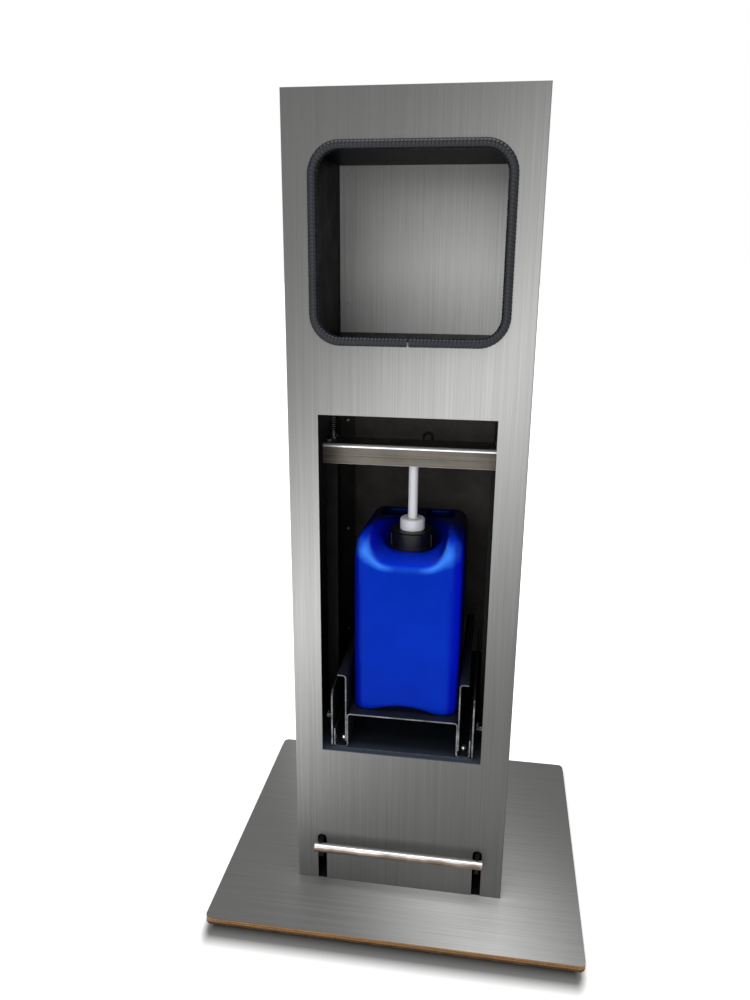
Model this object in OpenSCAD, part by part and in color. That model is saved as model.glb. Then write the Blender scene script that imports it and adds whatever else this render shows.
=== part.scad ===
// Foot-operated sanitizer stand: a sheet-steel column on a clad board, with a hand window above
// and a bay below that holds a jerrican whose pump is pulled down by a foot bar.
// Millimetres. Origin on the floor under the middle of the base, +X right, +Y back, +Z up.

/* [Base] */
// Width of the base
base_w = 490; // [440:5:600]
// Depth of the base
base_d = 412; // [390:2:500]
// Thickness of the plywood board
board_t = 9; // [8:1:18]
// Thickness of the steel skin on the board
skin_t = 1; // [0.6:0.2:2]
// Corner radius of the base in plan
base_corner_r = 8; // [3:1:20]

/* [Column] */
// Width of the column
col_w = 280; // [276:2:340]
// Depth of the column
col_d = 316; // [300:2:360]
// Height of the column above the base
col_h = 1002; // [996:2:1100]
// Thickness of the column's sheet steel
sheet_t = 1.5; // [1:0.25:2]
// Distance from the column's back to the base's rear edge
rear_margin = 3; // [3:1:20]
// Fold of a side panel behind the front panel
front_fold = 18; // [12:1:20]
// Fold of a side panel in front of the rear panel
rear_fold = 25; // [20:1:30]
// Fold along the sides of each shelf and of the top
pan_fold = 15; // [10:1:20]
// Diameter of the rear panel's screws
rear_screw_d = 4; // [3:0.5:5]
// Screws down each side of the rear panel
rear_screw_count = 6; // [4:1:8]
// Distance of the rear screws from the column's side
rear_screw_inset = 14; // [12:1:16]
// Distance of the end screws from the panel's foot and top
rear_screw_end = 55; // [40:1:80]
// Diameter of the plug in the rear panel
rear_plug_d = 18; // [14:1:24]
// Height of the rear panel's plug above the base
rear_plug_z = 567; // [540:1:600]

/* [Hand window] */
// Width of the window's cut-out
window_w = 214; // [180:2:220]
// Height of the window's cut-out
window_h = 204; // [180:2:208]
// Corner radius of the window's cut-out
window_r = 30; // [20:1:45]
// Height of the window's centre above the base
window_z = 844; // [840:1:846]
// Height of the hand shelf above the base
shelf_z = 725; // [715:1:728]
// Height of the hand space's ceiling above the base
ceiling_z = 959; // [956:1:964]
// Thickness of the bright sheet on the hand space's back
liner_t = 1; // [0.6:0.2:1.5]

/* [Window trim] */
// Outer diameter of the split ribbed tube on the window's edge
trim_d = 8.5; // [8:0.5:12]
// Wall of the tube under its ribs
trim_wall = 1.2; // [0.8:0.1:1.6]
// Height of the ribs
rib_h = 0.7; // [0.4:0.1:1]
// Ribs round the window
rib_count = 130; // [90:2:200]
// Seam where the tube's ends meet
trim_seam = 2.5; // [1:0.5:5]

/* [Bottle bay] */
// Width of the bay's cut-out
bay_w = 208; // [190:2:216]
// Height of the bay's cut-out
bay_h = 450; // [430:2:470]
// Height of the bay's floor above the base
bay_z = 207; // [200:1:220]

/* [Cradle] */
// Thickness of the cradle's sheet
cradle_t = 2; // [1.5:0.25:2.5]
// Inside radius of the cradle's folds
cradle_bend = 3; // [2:0.5:4]
// Distance of the cradle behind the front panel's face
cradle_front = 8; // [6:1:20]
// Depth of the cradle
cradle_d = 214; // [200:2:230]
// Height of the cradle's outer sides
cradle_side_h = 85; // [60:1:100]
// Height of the tray above the cradle's floor
tray_h = 51; // [45:1:60]
// Width of the tray stand's feet
foot_w = 17; // [14:1:20]
// Height of the turned-up lips on the feet
lip_h = 27; // [15:1:35]
// Height of the cheeks above the tray
cheek_h = 56; // [40:1:70]
// Width of the cheeks' top flange
cheek_flange = 11; // [8:1:14]

/* [Jerrican] */
// Width of the jerrican
jerry_w = 134; // [126:1:136]
// Depth of the jerrican
jerry_d = 190; // [170:2:200]
// Height of the jerrican's body
jerry_h = 230; // [210:2:232]
// Wall of the jerrican
jerry_wall = 2; // [1.5:0.25:3]
// Radius of the jerrican's upper corners
jerry_top_r = 20; // [14:1:26]
// Radius of the jerrican's lower corners
jerry_foot_r = 10; // [6:1:14]
// Distance of the jerrican behind the front panel's face
jerry_front = 20; // [14:1:26]
// Depth of the dish that the neck stands in
dish_h = 22; // [16:1:26]
// Radius of the dish's floor
dish_r = 36; // [34:1:38]
// Width of the dish where it opens to the front
saddle_w = 108; // [96:1:112]
// Outer diameter of the neck
neck_d = 50; // [44:1:52]
// Height of the neck above the dish
neck_h = 18; // [15:1:22]

/* [Pump] */
// Distance of the pump behind the front panel's face
pump_back = 95; // [93:1:97]
// Outer diameter of the screw cap
cap_d = 61; // [58:0.5:64]
// Grip ribs round the screw cap
cap_ribs = 8; // [6:1:16]
// Outer diameter of the pump's collar
collar_d = 32.5; // [31:0.5:37]
// Height of the pump's collar
collar_h = 15; // [12:0.5:18]
// Outer diameter of the pump's stem
stem_d = 12.4; // [12:0.2:15]
// Outer diameter of the pump's barrel
barrel_d = 24; // [22:0.5:26]
// Length of the barrel below the neck
barrel_l = 105; // [95:1:115]
// Outer diameter of the dip tube
dip_d = 8; // [6:0.5:10]

/* [Presser] */
// Length of the presser bar
presser_l = 226; // [220:1:240]
// Depth of the presser bar
presser_d = 46; // [44:1:50]
// Height of the presser bar's flanges
presser_h = 25.5; // [22:0.5:30]
// Height of the presser's top above the base at rest
presser_z = 608.5; // [600:0.5:616]
// Distance of the presser behind the front panel's face
presser_front = 65; // [62:1:68]
// Thickness of the presser's sheet
presser_t = 2; // [1.5:0.25:3]
// Width of the pull legs
leg_w = 15; // [12:1:16]
// Thickness of the pull legs
leg_t = 4; // [3:0.5:5]
// Distance of the pull legs behind the front panel's face
leg_back = 88; // [86:1:89]
// Coils in each return spring
spring_turns = 16; // [10:1:20]
// Wire of the return springs
spring_wire = 1.4; // [1:0.1:1.8]
// Mean diameter of the return springs
spring_d = 10; // [9:0.5:12]
// Length of the return springs
spring_l = 48; // [40:1:60]

/* [Foot pedal] */
// Width of the slots that the pedal's arms pass through
slot_w = 12; // [10:0.5:14]
// Height of the slots above the base
slot_h = 73; // [71:1:80]
// Diameter of the foot bar
bar_d = 12; // [8:0.5:14]
// Length of the foot bar past each arm
bar_overhang = 5; // [3:0.5:8]
// Distance of the foot bar in front of the column
bar_reach = 15; // [12:1:30]
// Height of the foot bar above the base at rest
bar_z = 63; // [61:0.5:64]
// Travel of the foot bar
pedal_travel = 34; // [24:1:36]
// Thickness of the pedal's arms
arm_t = 5; // [4:0.5:6]
// Height of the pedal's arms
arm_h = 30; // [26:1:31]
// Distance of the axle behind the front panel's face
axle_back = 283; // [265:1:290]
// Diameter of the axle
axle_d = 12; // [10:0.5:14]

/* [Delivery hose] */
// Outer diameter of the hose
hose_d = 6; // [5:0.5:7]
// Distance of the nozzle behind the front panel's face
nozzle_back = 100; // [100:1:101]
// Diameter of the nozzle's thread
nozzle_d = 12; // [10:0.5:14]

/* [Hidden] */
$fn = 64;
// Clearance of pieces that are fixed together
fit = 0.1;
// Clearance of shafts that turn or slide in a bore
run_gap = 0.05;
// Clearance of loosely guided pieces and of pieces that rest on each other
ease = 0.3;
// Overshoot of cuts
cut = 1;
// Facets of a fold and of rounded corners that are blended by hulls
bend_steps = 6;
corner_fn = 28;

// Frame of the column
z0 = board_t + skin_t;
y_front = base_d / 2 - rear_margin - col_d;
y_back = y_front + col_d;
col_in = col_w / 2 - sheet_t;
sheet_bend = sheet_t / 2;
angle_y = y_front + 2 * sheet_t + sheet_bend + fit;
angle_l = col_d - 2 * (angle_y - y_front);
shelf_top = z0 + shelf_z;
ceiling_under = z0 + ceiling_z;
floor_top = z0 + bay_z;
angle_t = 3;
angle_w = 25;
rear_plug_lip = 5;

// Cradle and jerrican
jerry_gap = 6;
stand_half = jerry_w / 2 + jerry_gap;
lip_half = stand_half + foot_w;
lip_gap = 1.5;
cradle_half = lip_half + lip_gap + cradle_t;
cradle_y = y_front + cradle_front;
cradle_floor = floor_top + cradle_t;
cradle_corner_r = 14;
tray_top = cradle_floor + tray_h;
cheek_top = tray_top + cheek_h;
cradle_screw_d = 5;
cradle_screw_x = stand_half + (foot_w - cradle_t) / 2;
cradle_screw_inset = 22;
jerry_y = y_front + jerry_front;
jerry_top = tray_top + jerry_h;
jerry_foot_in = 2;
dish_floor = jerry_top - dish_h;
dish_flare = 6;
brow_d = 22;
brow_h = 18;
arch_w = 76;
arch_h = 7;
arch_d = 14;
arch_r = (arch_w * arch_w / 4 + arch_h * arch_h) / (2 * arch_h);
grip_w = 100;
grip_h = 34;
grip_r = 12;
grip_rear = 12;
grip_land = 5;
handle_w = 26;
handle_h = 14;

// Pump, from the neck up
pump_y = y_front + pump_back;
grip_start = pump_y + dish_r + dish_flare + grip_land;
grip_l = jerry_y + jerry_d - grip_rear - grip_start;
grip_y = grip_start + grip_l / 2;
neck_bore = neck_d - 6;
neck_top = dish_floor + neck_h;
flange_t = 3;
flange_d = neck_d - 2;
cap_foot = dish_floor + cut;
cap_top_t = 3;
cap_top = neck_top + flange_t + ease + cap_top_t;
cap_rib_h = 2;
cap_rib_w = 5;
cap_rib_set_in = 0.6;
cap_band = 4;
throat_d = 27;
throat_top = cap_top + collar_h / 2;
collar_round = 3;
stem_bore = 7;
barrel_bore = 18;
barrel_foot = neck_top - barrel_l;
barrel_floor_t = 6;
piston_h = 12;
piston_top = neck_top - 25;
piston_d = barrel_bore - 2 * run_gap;
spigot_d = dip_d + 5;
spigot_l = 12;
dip_clear = 8;
ball_d = 7;
head_d = 24;
head_socket = 6;
barb_d = hose_d - 1;
barb_l = 18;
pump_spring_turns = 6;
pump_spring_wire = 1;
pump_spring_d = 14;

// Presser and its legs
presser_y = y_front + presser_front;
presser_top = z0 + presser_z;
presser_under = presser_top - presser_t;
presser_bend = 3;
guide_wall = 1.8;
guide_space = 3;
leg_x = cradle_half + guide_space + guide_wall + ease + leg_w / 2;
leg_y = y_front + leg_back;
guide_lip = 4;
guide_lip_t = 2;
guide_depth = 8;
leg_tab = 18;
leg_bolt_d = 6;
leg_bolt_y = leg_y - leg_tab + leg_t / 2 + leg_bolt_d;
head_top = presser_under - ease;
head_h = 18;
head_foot = head_top - head_h;
barb_z = head_foot + head_h / 2 - 2;
plug_t = 3;
plug_d = spring_d + 4;
plug_stub_d = spring_d - spring_wire - 2 * ease - 2 * fit;
plug_stub_l = 6;
hanger_d = 6;
spring_y = presser_y + presser_d - presser_t - presser_bend - plug_d / 2;
spring_foot = presser_top + plug_t;
spring_head = spring_foot + spring_l;

// Pedal: the arms swing as far above the level as below it
y_bar = y_front - bar_reach;
y_axle = y_front + axle_back;
arm_l = y_axle - y_bar;
tilt = asin(pedal_travel / 2 / arm_l);
bar_edge = 2;
bar_lift = arm_h / 2 - bar_d / 2 - bar_edge;
z_axle = z0 + bar_z - arm_l * sin(tilt) - bar_lift * cos(tilt);
pin_d = 8;
pin_arm = (y_axle - leg_y) * 2 / (1 + cos(tilt));
pin_z = z_axle + pin_arm * sin(tilt);
pin_play = 0.5;
clevis_t = 3;
clevis_gap = 1;
clevis_l = 18;
clevis_drop = 9;
clevis_half = arm_t / 2 + clevis_gap + clevis_t / 2;
clevis_top = pin_z + arm_h / 2 + 6;
pin_head_d = 13;
pin_head_t = 3;
hub_d = 24;
hub_l = 14;
bush_d = axle_d + 3;
bracket_w = 40;
bracket_foot = 30;
bracket_x = leg_x - hub_l / 2 - 1 - angle_t;
washer_t = 2;
nut_t = 8;
nut_af = 19;
axle_half = leg_x + hub_l / 2 + ease + washer_t + nut_t + 2;
stop_w = 12;
stop_d = 11;
stop_h = 14;
stop_z = z_axle + (axle_back - sheet_t) * tan(tilt) + arm_h / 2 / cos(tilt) + ease;

// Screws into the board
base_screw_d = 4.5;
base_screw_head = 9;
base_screw_head_h = 2.6;
base_screw_bite = board_t - 2;
angle_screw_x = col_in - angle_w / 2;
angle_screw_ys = [for (i = [-1:1]) y_front + col_d / 2 + i * col_d / 3];
bracket_screw_x = bracket_x - bracket_foot / 2;
bracket_screw_ys = [y_axle - bracket_w / 4, y_axle + bracket_w / 4];

// Hose: up behind the right stile of the front panel, then over the ceiling to the nozzle
hose_x = col_in - hose_d - 4.5;
hose_y = y_front + 28;
grommet_d = hose_d + 4;
grommet_lip = 2.5;
grommet_lip_t = 2;
nozzle_y = y_front + nozzle_back;
nozzle_flange_t = 3;
nozzle_tip = 2;
nozzle_nut_t = 5;
nozzle_barb_z = ceiling_under + 31;
hose_bend = 26;
flex_start = head_d / 2 + barb_l;
flex_from = [flex_start + hose_d, pump_y, barb_z];
flex_to = [hose_x, hose_y, shelf_top - sheet_t / 2];
// Shares of the way from the barb to the shelf: along the presser, round its end, then up and forward
flex_shares = [
    [0.174, -0.01, 0], [0.424, -0.05, 0], [0.641, -0.075, 0], [0.761, -0.075, 0.004],
    [0.848, -0.067, 0.019], [0.924, -0.045, 0.054], [0.978, 0.015, 0.116], [1, 0.12, 0.208],
    [1, 0.33, 0.363], [1, 0.597, 0.549], [1, 0.82, 0.719], [1, 0.955, 0.859], [1, 1, 0.952]
];
flex_route = concat([[flex_start, pump_y, barb_z], flex_from],
    [for (s = flex_shares) along(flex_from, flex_to, s)], [flex_to]);
riser_end = nozzle_d / 2 + barb_l;
riser_from = [hose_x, hose_y, nozzle_barb_z - hose_bend];
riser_to = [riser_end + hose_d, nozzle_y, nozzle_barb_z];
// Shares of the way from the riser's top to the nozzle: a bend, then across the ceiling
riser_shares = [
    [0.015, 0.021, 0.385], [0.056, 0.069, 0.712], [0.122, 0.153, 0.923], [0.199, 0.243, 1],
    [0.388, 0.472, 1], [0.571, 0.694, 1], [0.714, 0.854, 1], [0.827, 0.951, 1], [0.918, 0.993, 1]
];
riser_route = concat([flex_to, along(flex_to, riser_from, [0, 0, 0.27]),
    along(flex_to, riser_from, [0, 0, 0.63]), riser_from],
    [for (s = riser_shares) along(riser_from, riser_to, s)], [riser_to, [riser_end, nozzle_y, nozzle_barb_z]]);

// Vectors and lists
// A point whose shares of the way from a to b differ along each axis
function along(a, b, shares) = [for (i = [0:2]) a[i] + (b[i] - a[i]) * shares[i]];
function unit(v) = v / norm(v);
function reversed(list) = [for (i = [len(list) - 1:-1:0]) list[i]];
function turned(v, a) = [v[0] * cos(a) - v[1] * sin(a), v[0] * sin(a) + v[1] * cos(a)];
function left_of(p, q) = let (d = unit(q - p)) [-d[1], d[0]];

// One side of a fold, where a sheet's middle line turns at q with radius r
function fold_arc(p, q, s, r, off) =
    let (a = unit(p - q), b = unit(s - q), half = acos(a * b) / 2)
    let (c = q + unit(a + b) * r / sin(half), from = q + a * r / tan(half) - c)
    let (to = q + b * r / tan(half) - c)
    let (turn = atan2(from[0] * to[1] - from[1] * to[0], from * to))
    [for (i = [0:bend_steps]) c + turned(from, turn * i / bend_steps) * (r - sign(turn) * off) / r];

// One side of a folded sheet whose middle line is the path
function sheet_side(path, r, off) =
    let (n = len(path))
    concat([path[0] + off * left_of(path[0], path[1])],
        [for (i = [1:n - 2]) each fold_arc(path[i - 1], path[i], path[i + 1], r, off)],
        [path[n - 1] + off * left_of(path[n - 2], path[n - 1])]);

module sheet_profile(path, t, bend) {
    r = bend + t / 2;
    polygon(concat(sheet_side(path, r, t / 2), reversed(sheet_side(path, r, -t / 2))));
}

// A profile in X and Z, drawn back along Y from y to y + length
module along_y(y, length) {
    translate([0, y + length, 0]) rotate([90, 0, 0]) linear_extrude(length) children();
}

// A profile in Y and Z, drawn along X from x to x + length
module along_x(x, length) {
    translate([x, 0, 0]) rotate([90, 0, 90]) linear_extrude(length) children();
}

module rounded_rect(w, h, r) {
    square([w - 2 * r, h], center = true);
    square([w, h - 2 * r], center = true);
    for (sx = [-1, 1], sy = [-1, 1])
        translate([sx * (w / 2 - r), sy * (h / 2 - r)]) circle(r);
}

module tube(outer, inner, h) {
    difference() {
        cylinder(d = outer, h = h);
        translate([0, 0, -cut]) cylinder(d = inner, h = h + 2 * cut);
    }
}

module both_sides() {
    children();
    mirror([1, 0, 0]) children();
}

// A closed skin over rings of points
module skin_over(rings) {
    n = len(rings[0]);
    m = len(rings);
    sides = [for (i = [0:m - 2], j = [0:n - 1])
        let (a = i * n + j, b = i * n + (j + 1) % n) each [[a, b, a + n], [b, b + n, a + n]]];
    first = [for (j = [n - 1:-1:0]) j];
    last = [for (j = [0:n - 1]) (m - 1) * n + j];
    polyhedron([for (ring = rings) each ring], concat([first, last], sides));
}

// Rings of a round tube along a route; side is never along the route
function tube_rings(route, r, sides, side) = [for (i = [0:len(route) - 1])
    let (t = unit(route[min(i + 1, len(route) - 1)] - route[max(i - 1, 0)]))
    let (u = unit(cross(side, t)), v = cross(t, u))
    [for (j = [0:sides - 1]) route[i] + r * (u * cos(360 * j / sides) + v * sin(360 * j / sides))]];

// Middle line of a coil spring, with its ends straightened towards its axis
coil_rings = 8;
coil_ease = 4;
function coil_turn(i, n) =
    i < coil_ease ? i * i / (2 * coil_ease)
    : i > n - coil_ease ? n - coil_ease - (n - i) * (n - i) / (2 * coil_ease)
    : i - coil_ease / 2;
function coil_point(i, n, d, z) =
    let (a = coil_turn(i, n) * 360 / coil_rings) [d / 2 * cos(a), d / 2 * sin(a), z];
function coil_route(turns, d, h, wire) =
    let (n = turns * coil_rings)
    concat([coil_point(0, n, d, 0)],
        [for (i = [0:n]) coil_point(i, n, d, wire + (h - 2 * wire) * i / n)],
        [coil_point(n, n, d, h)]);
function coil_gap(route, wire) = min([for (i = [0:len(route) - 1])
    each [for (j = [i + coil_rings / 2:1:len(route) - 1]) norm(route[i] - route[j])]]) - wire;
function coil_tube(route, wire) = [for (i = [0:len(route) - 1])
    let (t = unit(route[min(i + 1, len(route) - 1)] - route[max(i - 1, 0)]))
    let (out = unit([route[i][0], route[i][1], 0]), v = unit(cross(t, out)), u = cross(v, t))
    [for (j = [0:5]) route[i] + wire / 2 * (u * cos(60 * j) + v * sin(60 * j))]];
return_route = coil_route(spring_turns, spring_d, spring_l - 2 * fit, spring_wire);
pump_spring_l = piston_top - piston_h - barrel_foot - barrel_floor_t - 2 * fit;
pump_route = coil_route(pump_spring_turns, pump_spring_d, pump_spring_l, pump_spring_wire);
echo(return_spring_gap = coil_gap(return_route, spring_wire));
echo(pump_spring_gap = coil_gap(pump_route, pump_spring_wire));

// Base
module base_outline() {
    rounded_rect(base_w, base_d, base_corner_r);
}

module base_screw_places() {
    both_sides() {
        for (y = angle_screw_ys) translate([angle_screw_x, y, 0]) children();
        for (y = bracket_screw_ys) translate([bracket_screw_x, y, 0]) children();
    }
}

module base_board() {
    color("peru") difference() {
        linear_extrude(board_t) base_outline();
        base_screw_places() translate([0, 0, board_t - base_screw_bite])
            cylinder(d = base_screw_d + 2 * fit, h = base_screw_bite + cut);
    }
}

module base_skin() {
    color("silver") translate([0, 0, board_t]) difference() {
        linear_extrude(skin_t) base_outline();
        base_screw_places() translate([0, 0, -cut])
            cylinder(d = base_screw_d + 2 * fit, h = skin_t + 2 * cut);
    }
}

module base_angles() {
    x = col_in - angle_t / 2;
    z = z0 + angle_t / 2;
    color("dimgray") difference() {
        both_sides() along_y(angle_y, angle_l)
            sheet_profile([[x, z0 + angle_w], [x, z], [col_in - angle_w, z]], angle_t, angle_t);
        base_screw_places() translate([0, 0, z0 - cut])
            cylinder(d = base_screw_d + 2 * fit, h = angle_t + 2 * cut);
    }
}

module base_screws() {
    color("lightgray") base_screw_places() {
        translate([0, 0, z0 + angle_t])
            cylinder(d1 = base_screw_head, d2 = base_screw_head / 2, h = base_screw_head_h);
        translate([0, 0, board_t - base_screw_bite + fit])
            cylinder(d = base_screw_d, h = base_screw_bite + skin_t + angle_t - fit);
    }
}

// Column
module arm_slot() {
    translate([leg_x - slot_w / 2, z0 - cut]) square([slot_w, slot_h - slot_w / 2 + cut]);
    translate([leg_x, z0 + slot_h - slot_w / 2]) circle(d = slot_w);
}

module front_panel() {
    color("gainsboro") along_y(y_front, sheet_t) difference() {
        translate([-col_w / 2, z0]) square([col_w, col_h]);
        translate([0, z0 + window_z]) rounded_rect(window_w, window_h, window_r);
        translate([-bay_w / 2, floor_top]) square([bay_w, bay_h]);
        arm_slot();
        mirror([1, 0]) arm_slot();
    }
}

module rear_screw_places() {
    step = (col_h - 2 * rear_screw_end) / (rear_screw_count - 1);
    both_sides() for (i = [0:rear_screw_count - 1])
        translate([col_w / 2 - rear_screw_inset, y_back, z0 + rear_screw_end + i * step])
            rotate([90, 0, 0]) children();
}

module rear_screw_holes() {
    rear_screw_places() translate([0, 0, -cut])
        cylinder(d = rear_screw_d + 2 * fit, h = 2 * sheet_t + liner_t + 2 * cut);
}

module side_panel() {
    x = col_in + sheet_t / 2;
    y1 = y_front + 1.5 * sheet_t;
    y2 = y_back - 1.5 * sheet_t;
    notch = pan_fold + cut;
    color("gainsboro") difference() {
        translate([0, 0, z0]) linear_extrude(col_h) sheet_profile(
            [[col_w / 2 - front_fold, y1], [x, y1], [x, y2], [col_w / 2 - rear_fold, y2]],
            sheet_t, sheet_bend);
        translate([0, y_front, z0 + col_h - notch]) cube([col_in, col_d, notch + cut]);
        rear_screw_holes();
    }
}

module left_side_panel() {
    mirror([1, 0, 0]) side_panel();
}

module right_side_panel() {
    side_panel();
}

module rear_panel() {
    color("dimgray") difference() {
        translate([-col_w / 2, y_back - sheet_t, z0]) cube([col_w, sheet_t, col_h]);
        rear_screw_holes();
        at_rear_plug() cylinder(d = rear_plug_d - rear_plug_lip, h = sheet_t + 2 * cut);
    }
}

module at_rear_plug() {
    translate([0, y_back + cut, z0 + rear_plug_z]) rotate([90, 0, 0]) children();
}

// Rubber plug in a hole of the rear panel, its rounded head inside
module rear_plug() {
    flange_t = 1.5;
    head_h = 3;
    color("black") at_rear_plug() translate([0, 0, cut]) {
        cylinder(d = rear_plug_d - rear_plug_lip - 2 * fit, h = sheet_t);
        translate([0, 0, sheet_t]) cylinder(d = rear_plug_d, h = flange_t);
        translate([0, 0, sheet_t + flange_t])
            cylinder(d1 = rear_plug_d, d2 = rear_plug_d - rear_plug_lip - head_h, h = head_h);
    }
}

// Bright sheet behind the hand space, held by the rear screws in front of the folds
module hand_back() {
    half = col_in - sheet_bend - fit;
    color("gainsboro") difference() {
        translate([-half, y_back - 2 * sheet_t - liner_t, shelf_top + fit])
            cube([2 * half, liner_t, ceiling_under - shelf_top - 2 * fit]);
        rear_screw_holes();
    }
}

module rear_screws() {
    head_h = 2.2;
    tip = 2;
    color("lightgray") rear_screw_places() {
        translate([0, 0, -head_h])
            cylinder(d1 = rear_screw_d, d2 = 2 * rear_screw_d, h = head_h);
        cylinder(d = rear_screw_d, h = 2 * sheet_t + liner_t + tip);
    }
}

// A shelf with its sides folded down, or up where fold is negative; z is its flat's middle
module pan(z, fold, y, length) {
    x = col_in - sheet_t / 2 - fit;
    along_y(y, length)
        sheet_profile([[-x, z - fold], [-x, z], [x, z], [x, z - fold]], sheet_t, sheet_bend);
}

// A shelf whose corners are notched round the side panels' folds
module notched_pan(z, fold) {
    notch_y = 2 * sheet_t + sheet_bend + fit;
    notch_z = 2 * (pan_fold + sheet_t);
    difference() {
        pan(z, fold, y_front + sheet_t, col_d - 2 * sheet_t);
        both_sides() {
            translate([col_w / 2 - front_fold - fit, y_front, z - notch_z / 2])
                cube([front_fold, notch_y, notch_z]);
            translate([col_w / 2 - rear_fold - fit, y_back - notch_y, z - notch_z / 2])
                cube([rear_fold, notch_y, notch_z]);
        }
    }
}

module top_cap() {
    color("gainsboro")
        pan(z0 + col_h - sheet_t / 2, pan_fold, y_front + sheet_t, col_d - 2 * sheet_t);
}

module grommet_places() {
    translate([hose_x, hose_y, shelf_top - sheet_t / 2]) children();
    translate([hose_x, hose_y, ceiling_under + sheet_t / 2]) children();
}

module grommet_holes() {
    grommet_places() cylinder(d = grommet_d, h = 4 * sheet_t, center = true);
}

module hand_shelf() {
    color("dimgray") difference() {
        notched_pan(shelf_top - sheet_t / 2, pan_fold);
        grommet_holes();
    }
}

module hand_ceiling() {
    color("dimgray") difference() {
        notched_pan(ceiling_under + sheet_t / 2, -pan_fold);
        grommet_holes();
        translate([0, nozzle_y, ceiling_under - cut])
            cylinder(d = nozzle_d + 2 * fit, h = sheet_t + 2 * cut);
    }
}

module bay_floor() {
    color("dimgray") difference() {
        notched_pan(floor_top - sheet_t / 2, pan_fold);
        both_sides() translate([leg_x, leg_y, floor_top]) guide_body(fit, 4 * sheet_t);
        cradle_screw_places() cylinder(d = cradle_screw_d + 2 * fit, h = 4 * sheet_t, center = true);
    }
}

// Split ribbed tube on the window's edge; the panel's edge runs along its middle line
edge_a = window_w / 2 - window_r;
edge_b = window_h / 2 - window_r;
edge_q = window_r * PI / 2;
edge_runs = [edge_a, edge_q, 2 * edge_b, edge_q, 2 * edge_a, edge_q, 2 * edge_b, edge_q, edge_a];
edge_l = 4 * (edge_a + edge_b + edge_q);
edge_hubs = [[0, -edge_b], [edge_a, -edge_b], [edge_a, edge_b], [-edge_a, edge_b], [-edge_a, -edge_b]];
// Place and outward direction at length s along the edge, from the middle of its foot
function edge_at(s, k = 0) =
    k < 8 && s > edge_runs[k] ? edge_at(s - edge_runs[k], k + 1)
    : k % 2 == 1 ? let (a = 45 * (k - 1) - 90 + s / edge_q * 90)
        [edge_hubs[(k + 1) / 2] + window_r * [cos(a), sin(a)], a]
    : let (a = 45 * k - 90) [edge_hubs[k / 2] + window_r * [cos(a), sin(a)] + s * [-sin(a), cos(a)], a];
trim_bore = trim_d / 2 - rib_h - trim_wall;
trim_slit = sheet_t / 2 + fit;
// Angles round the tube from one lip of its slit to the other
function lip_to_lip(r, steps) = let (lip = asin(trim_slit / r))
    [for (i = [0:steps]) lip + (360 - 2 * lip) * i / steps];
function trim_ring(s, r) =
    let (e = edge_at(s), out = [cos(e[1]), 0, sin(e[1])])
    let (p = [e[0][0], y_front + sheet_t / 2, e[0][1] + z0 + window_z])
    concat([for (a = lip_to_lip(r, 5)) p + r * (out * cos(a) + [0, sin(a), 0])],
        [for (a = reversed(lip_to_lip(trim_bore, 3))) p + trim_bore * (out * cos(a) + [0, sin(a), 0])]);

module window_trim() {
    n = 2 * rib_count;
    color("black") skin_over([for (i = [0:n])
        trim_ring(trim_seam / 2 + (edge_l - trim_seam) * i / n, trim_d / 2 - (i % 2) * rib_h)]);
}

// Cradle
module cradle_screw_places() {
    both_sides() for (y = [cradle_y + cradle_screw_inset, cradle_y + cradle_d - cradle_screw_inset])
        translate([cradle_screw_x, y, floor_top]) children();
}

module cradle_screw_holes() {
    cradle_screw_places() cylinder(d = cradle_screw_d + 2 * fit, h = 6 * cradle_t, center = true);
}

module cradle_base() {
    x = cradle_half - cradle_t / 2;
    z = floor_top + cradle_t / 2;
    top = floor_top + cradle_side_h;
    r = cradle_corner_r;
    color("gray") difference() {
        along_y(cradle_y, cradle_d)
            sheet_profile([[-x, top], [-x, z], [x, z], [x, top]], cradle_t, cradle_bend - cradle_t);
        along_x(-cradle_half - cut, 2 * cradle_half + 2 * cut) difference() {
            translate([cradle_y - cut, top - r]) square([r + cut, r + cut]);
            translate([cradle_y + r, top - r]) circle(r);
        }
        cradle_screw_holes();
    }
}

module tray_stand() {
    lip = lip_half - cradle_t / 2;
    leg = stand_half - cradle_t / 2;
    foot = cradle_floor + cradle_t / 2;
    tray = tray_top - cradle_t / 2;
    tip = cradle_floor + lip_h;
    color("gray") difference() {
        along_y(cradle_y, cradle_d) sheet_profile(
            [[-lip, tip], [-lip, foot], [-leg, foot], [-leg, tray],
                [leg, tray], [leg, foot], [lip, foot], [lip, tip]], cradle_t, cradle_bend);
        cradle_screw_holes();
    }
}

module cheek() {
    x = stand_half + cradle_t / 2;
    top = cheek_top - cradle_t / 2;
    foot = cradle_floor + 2 * cradle_t + 2 * cradle_bend;
    color("gray") along_y(cradle_y, cradle_d)
        sheet_profile([[x, foot], [x, top], [x + cheek_flange, top]], cradle_t, cradle_bend);
}

module left_cheek() {
    mirror([1, 0, 0]) cheek();
}

module right_cheek() {
    cheek();
}

module cradle_screws() {
    head_h = 2.8;
    seat = 2 * cradle_t;
    color("lightgray") cradle_screw_places() {
        translate([0, 0, seat])
            cylinder(d1 = 1.8 * cradle_screw_d, d2 = 1.2 * cradle_screw_d, h = head_h);
        translate([0, 0, -cradle_screw_d - 3 * sheet_t])
            cylinder(d = cradle_screw_d, h = seat + cradle_screw_d + 3 * sheet_t);
    }
}

module cradle_nuts() {
    h = 0.8 * cradle_screw_d;
    color("lightgray") cradle_screw_places() translate([0, 0, -sheet_t - h]) difference() {
        cylinder(d = 1.85 * cradle_screw_d, h = h, $fn = 6);
        translate([0, 0, -cut]) cylinder(d = cradle_screw_d + 2 * fit, h = h + 2 * cut);
    }
}

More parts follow.
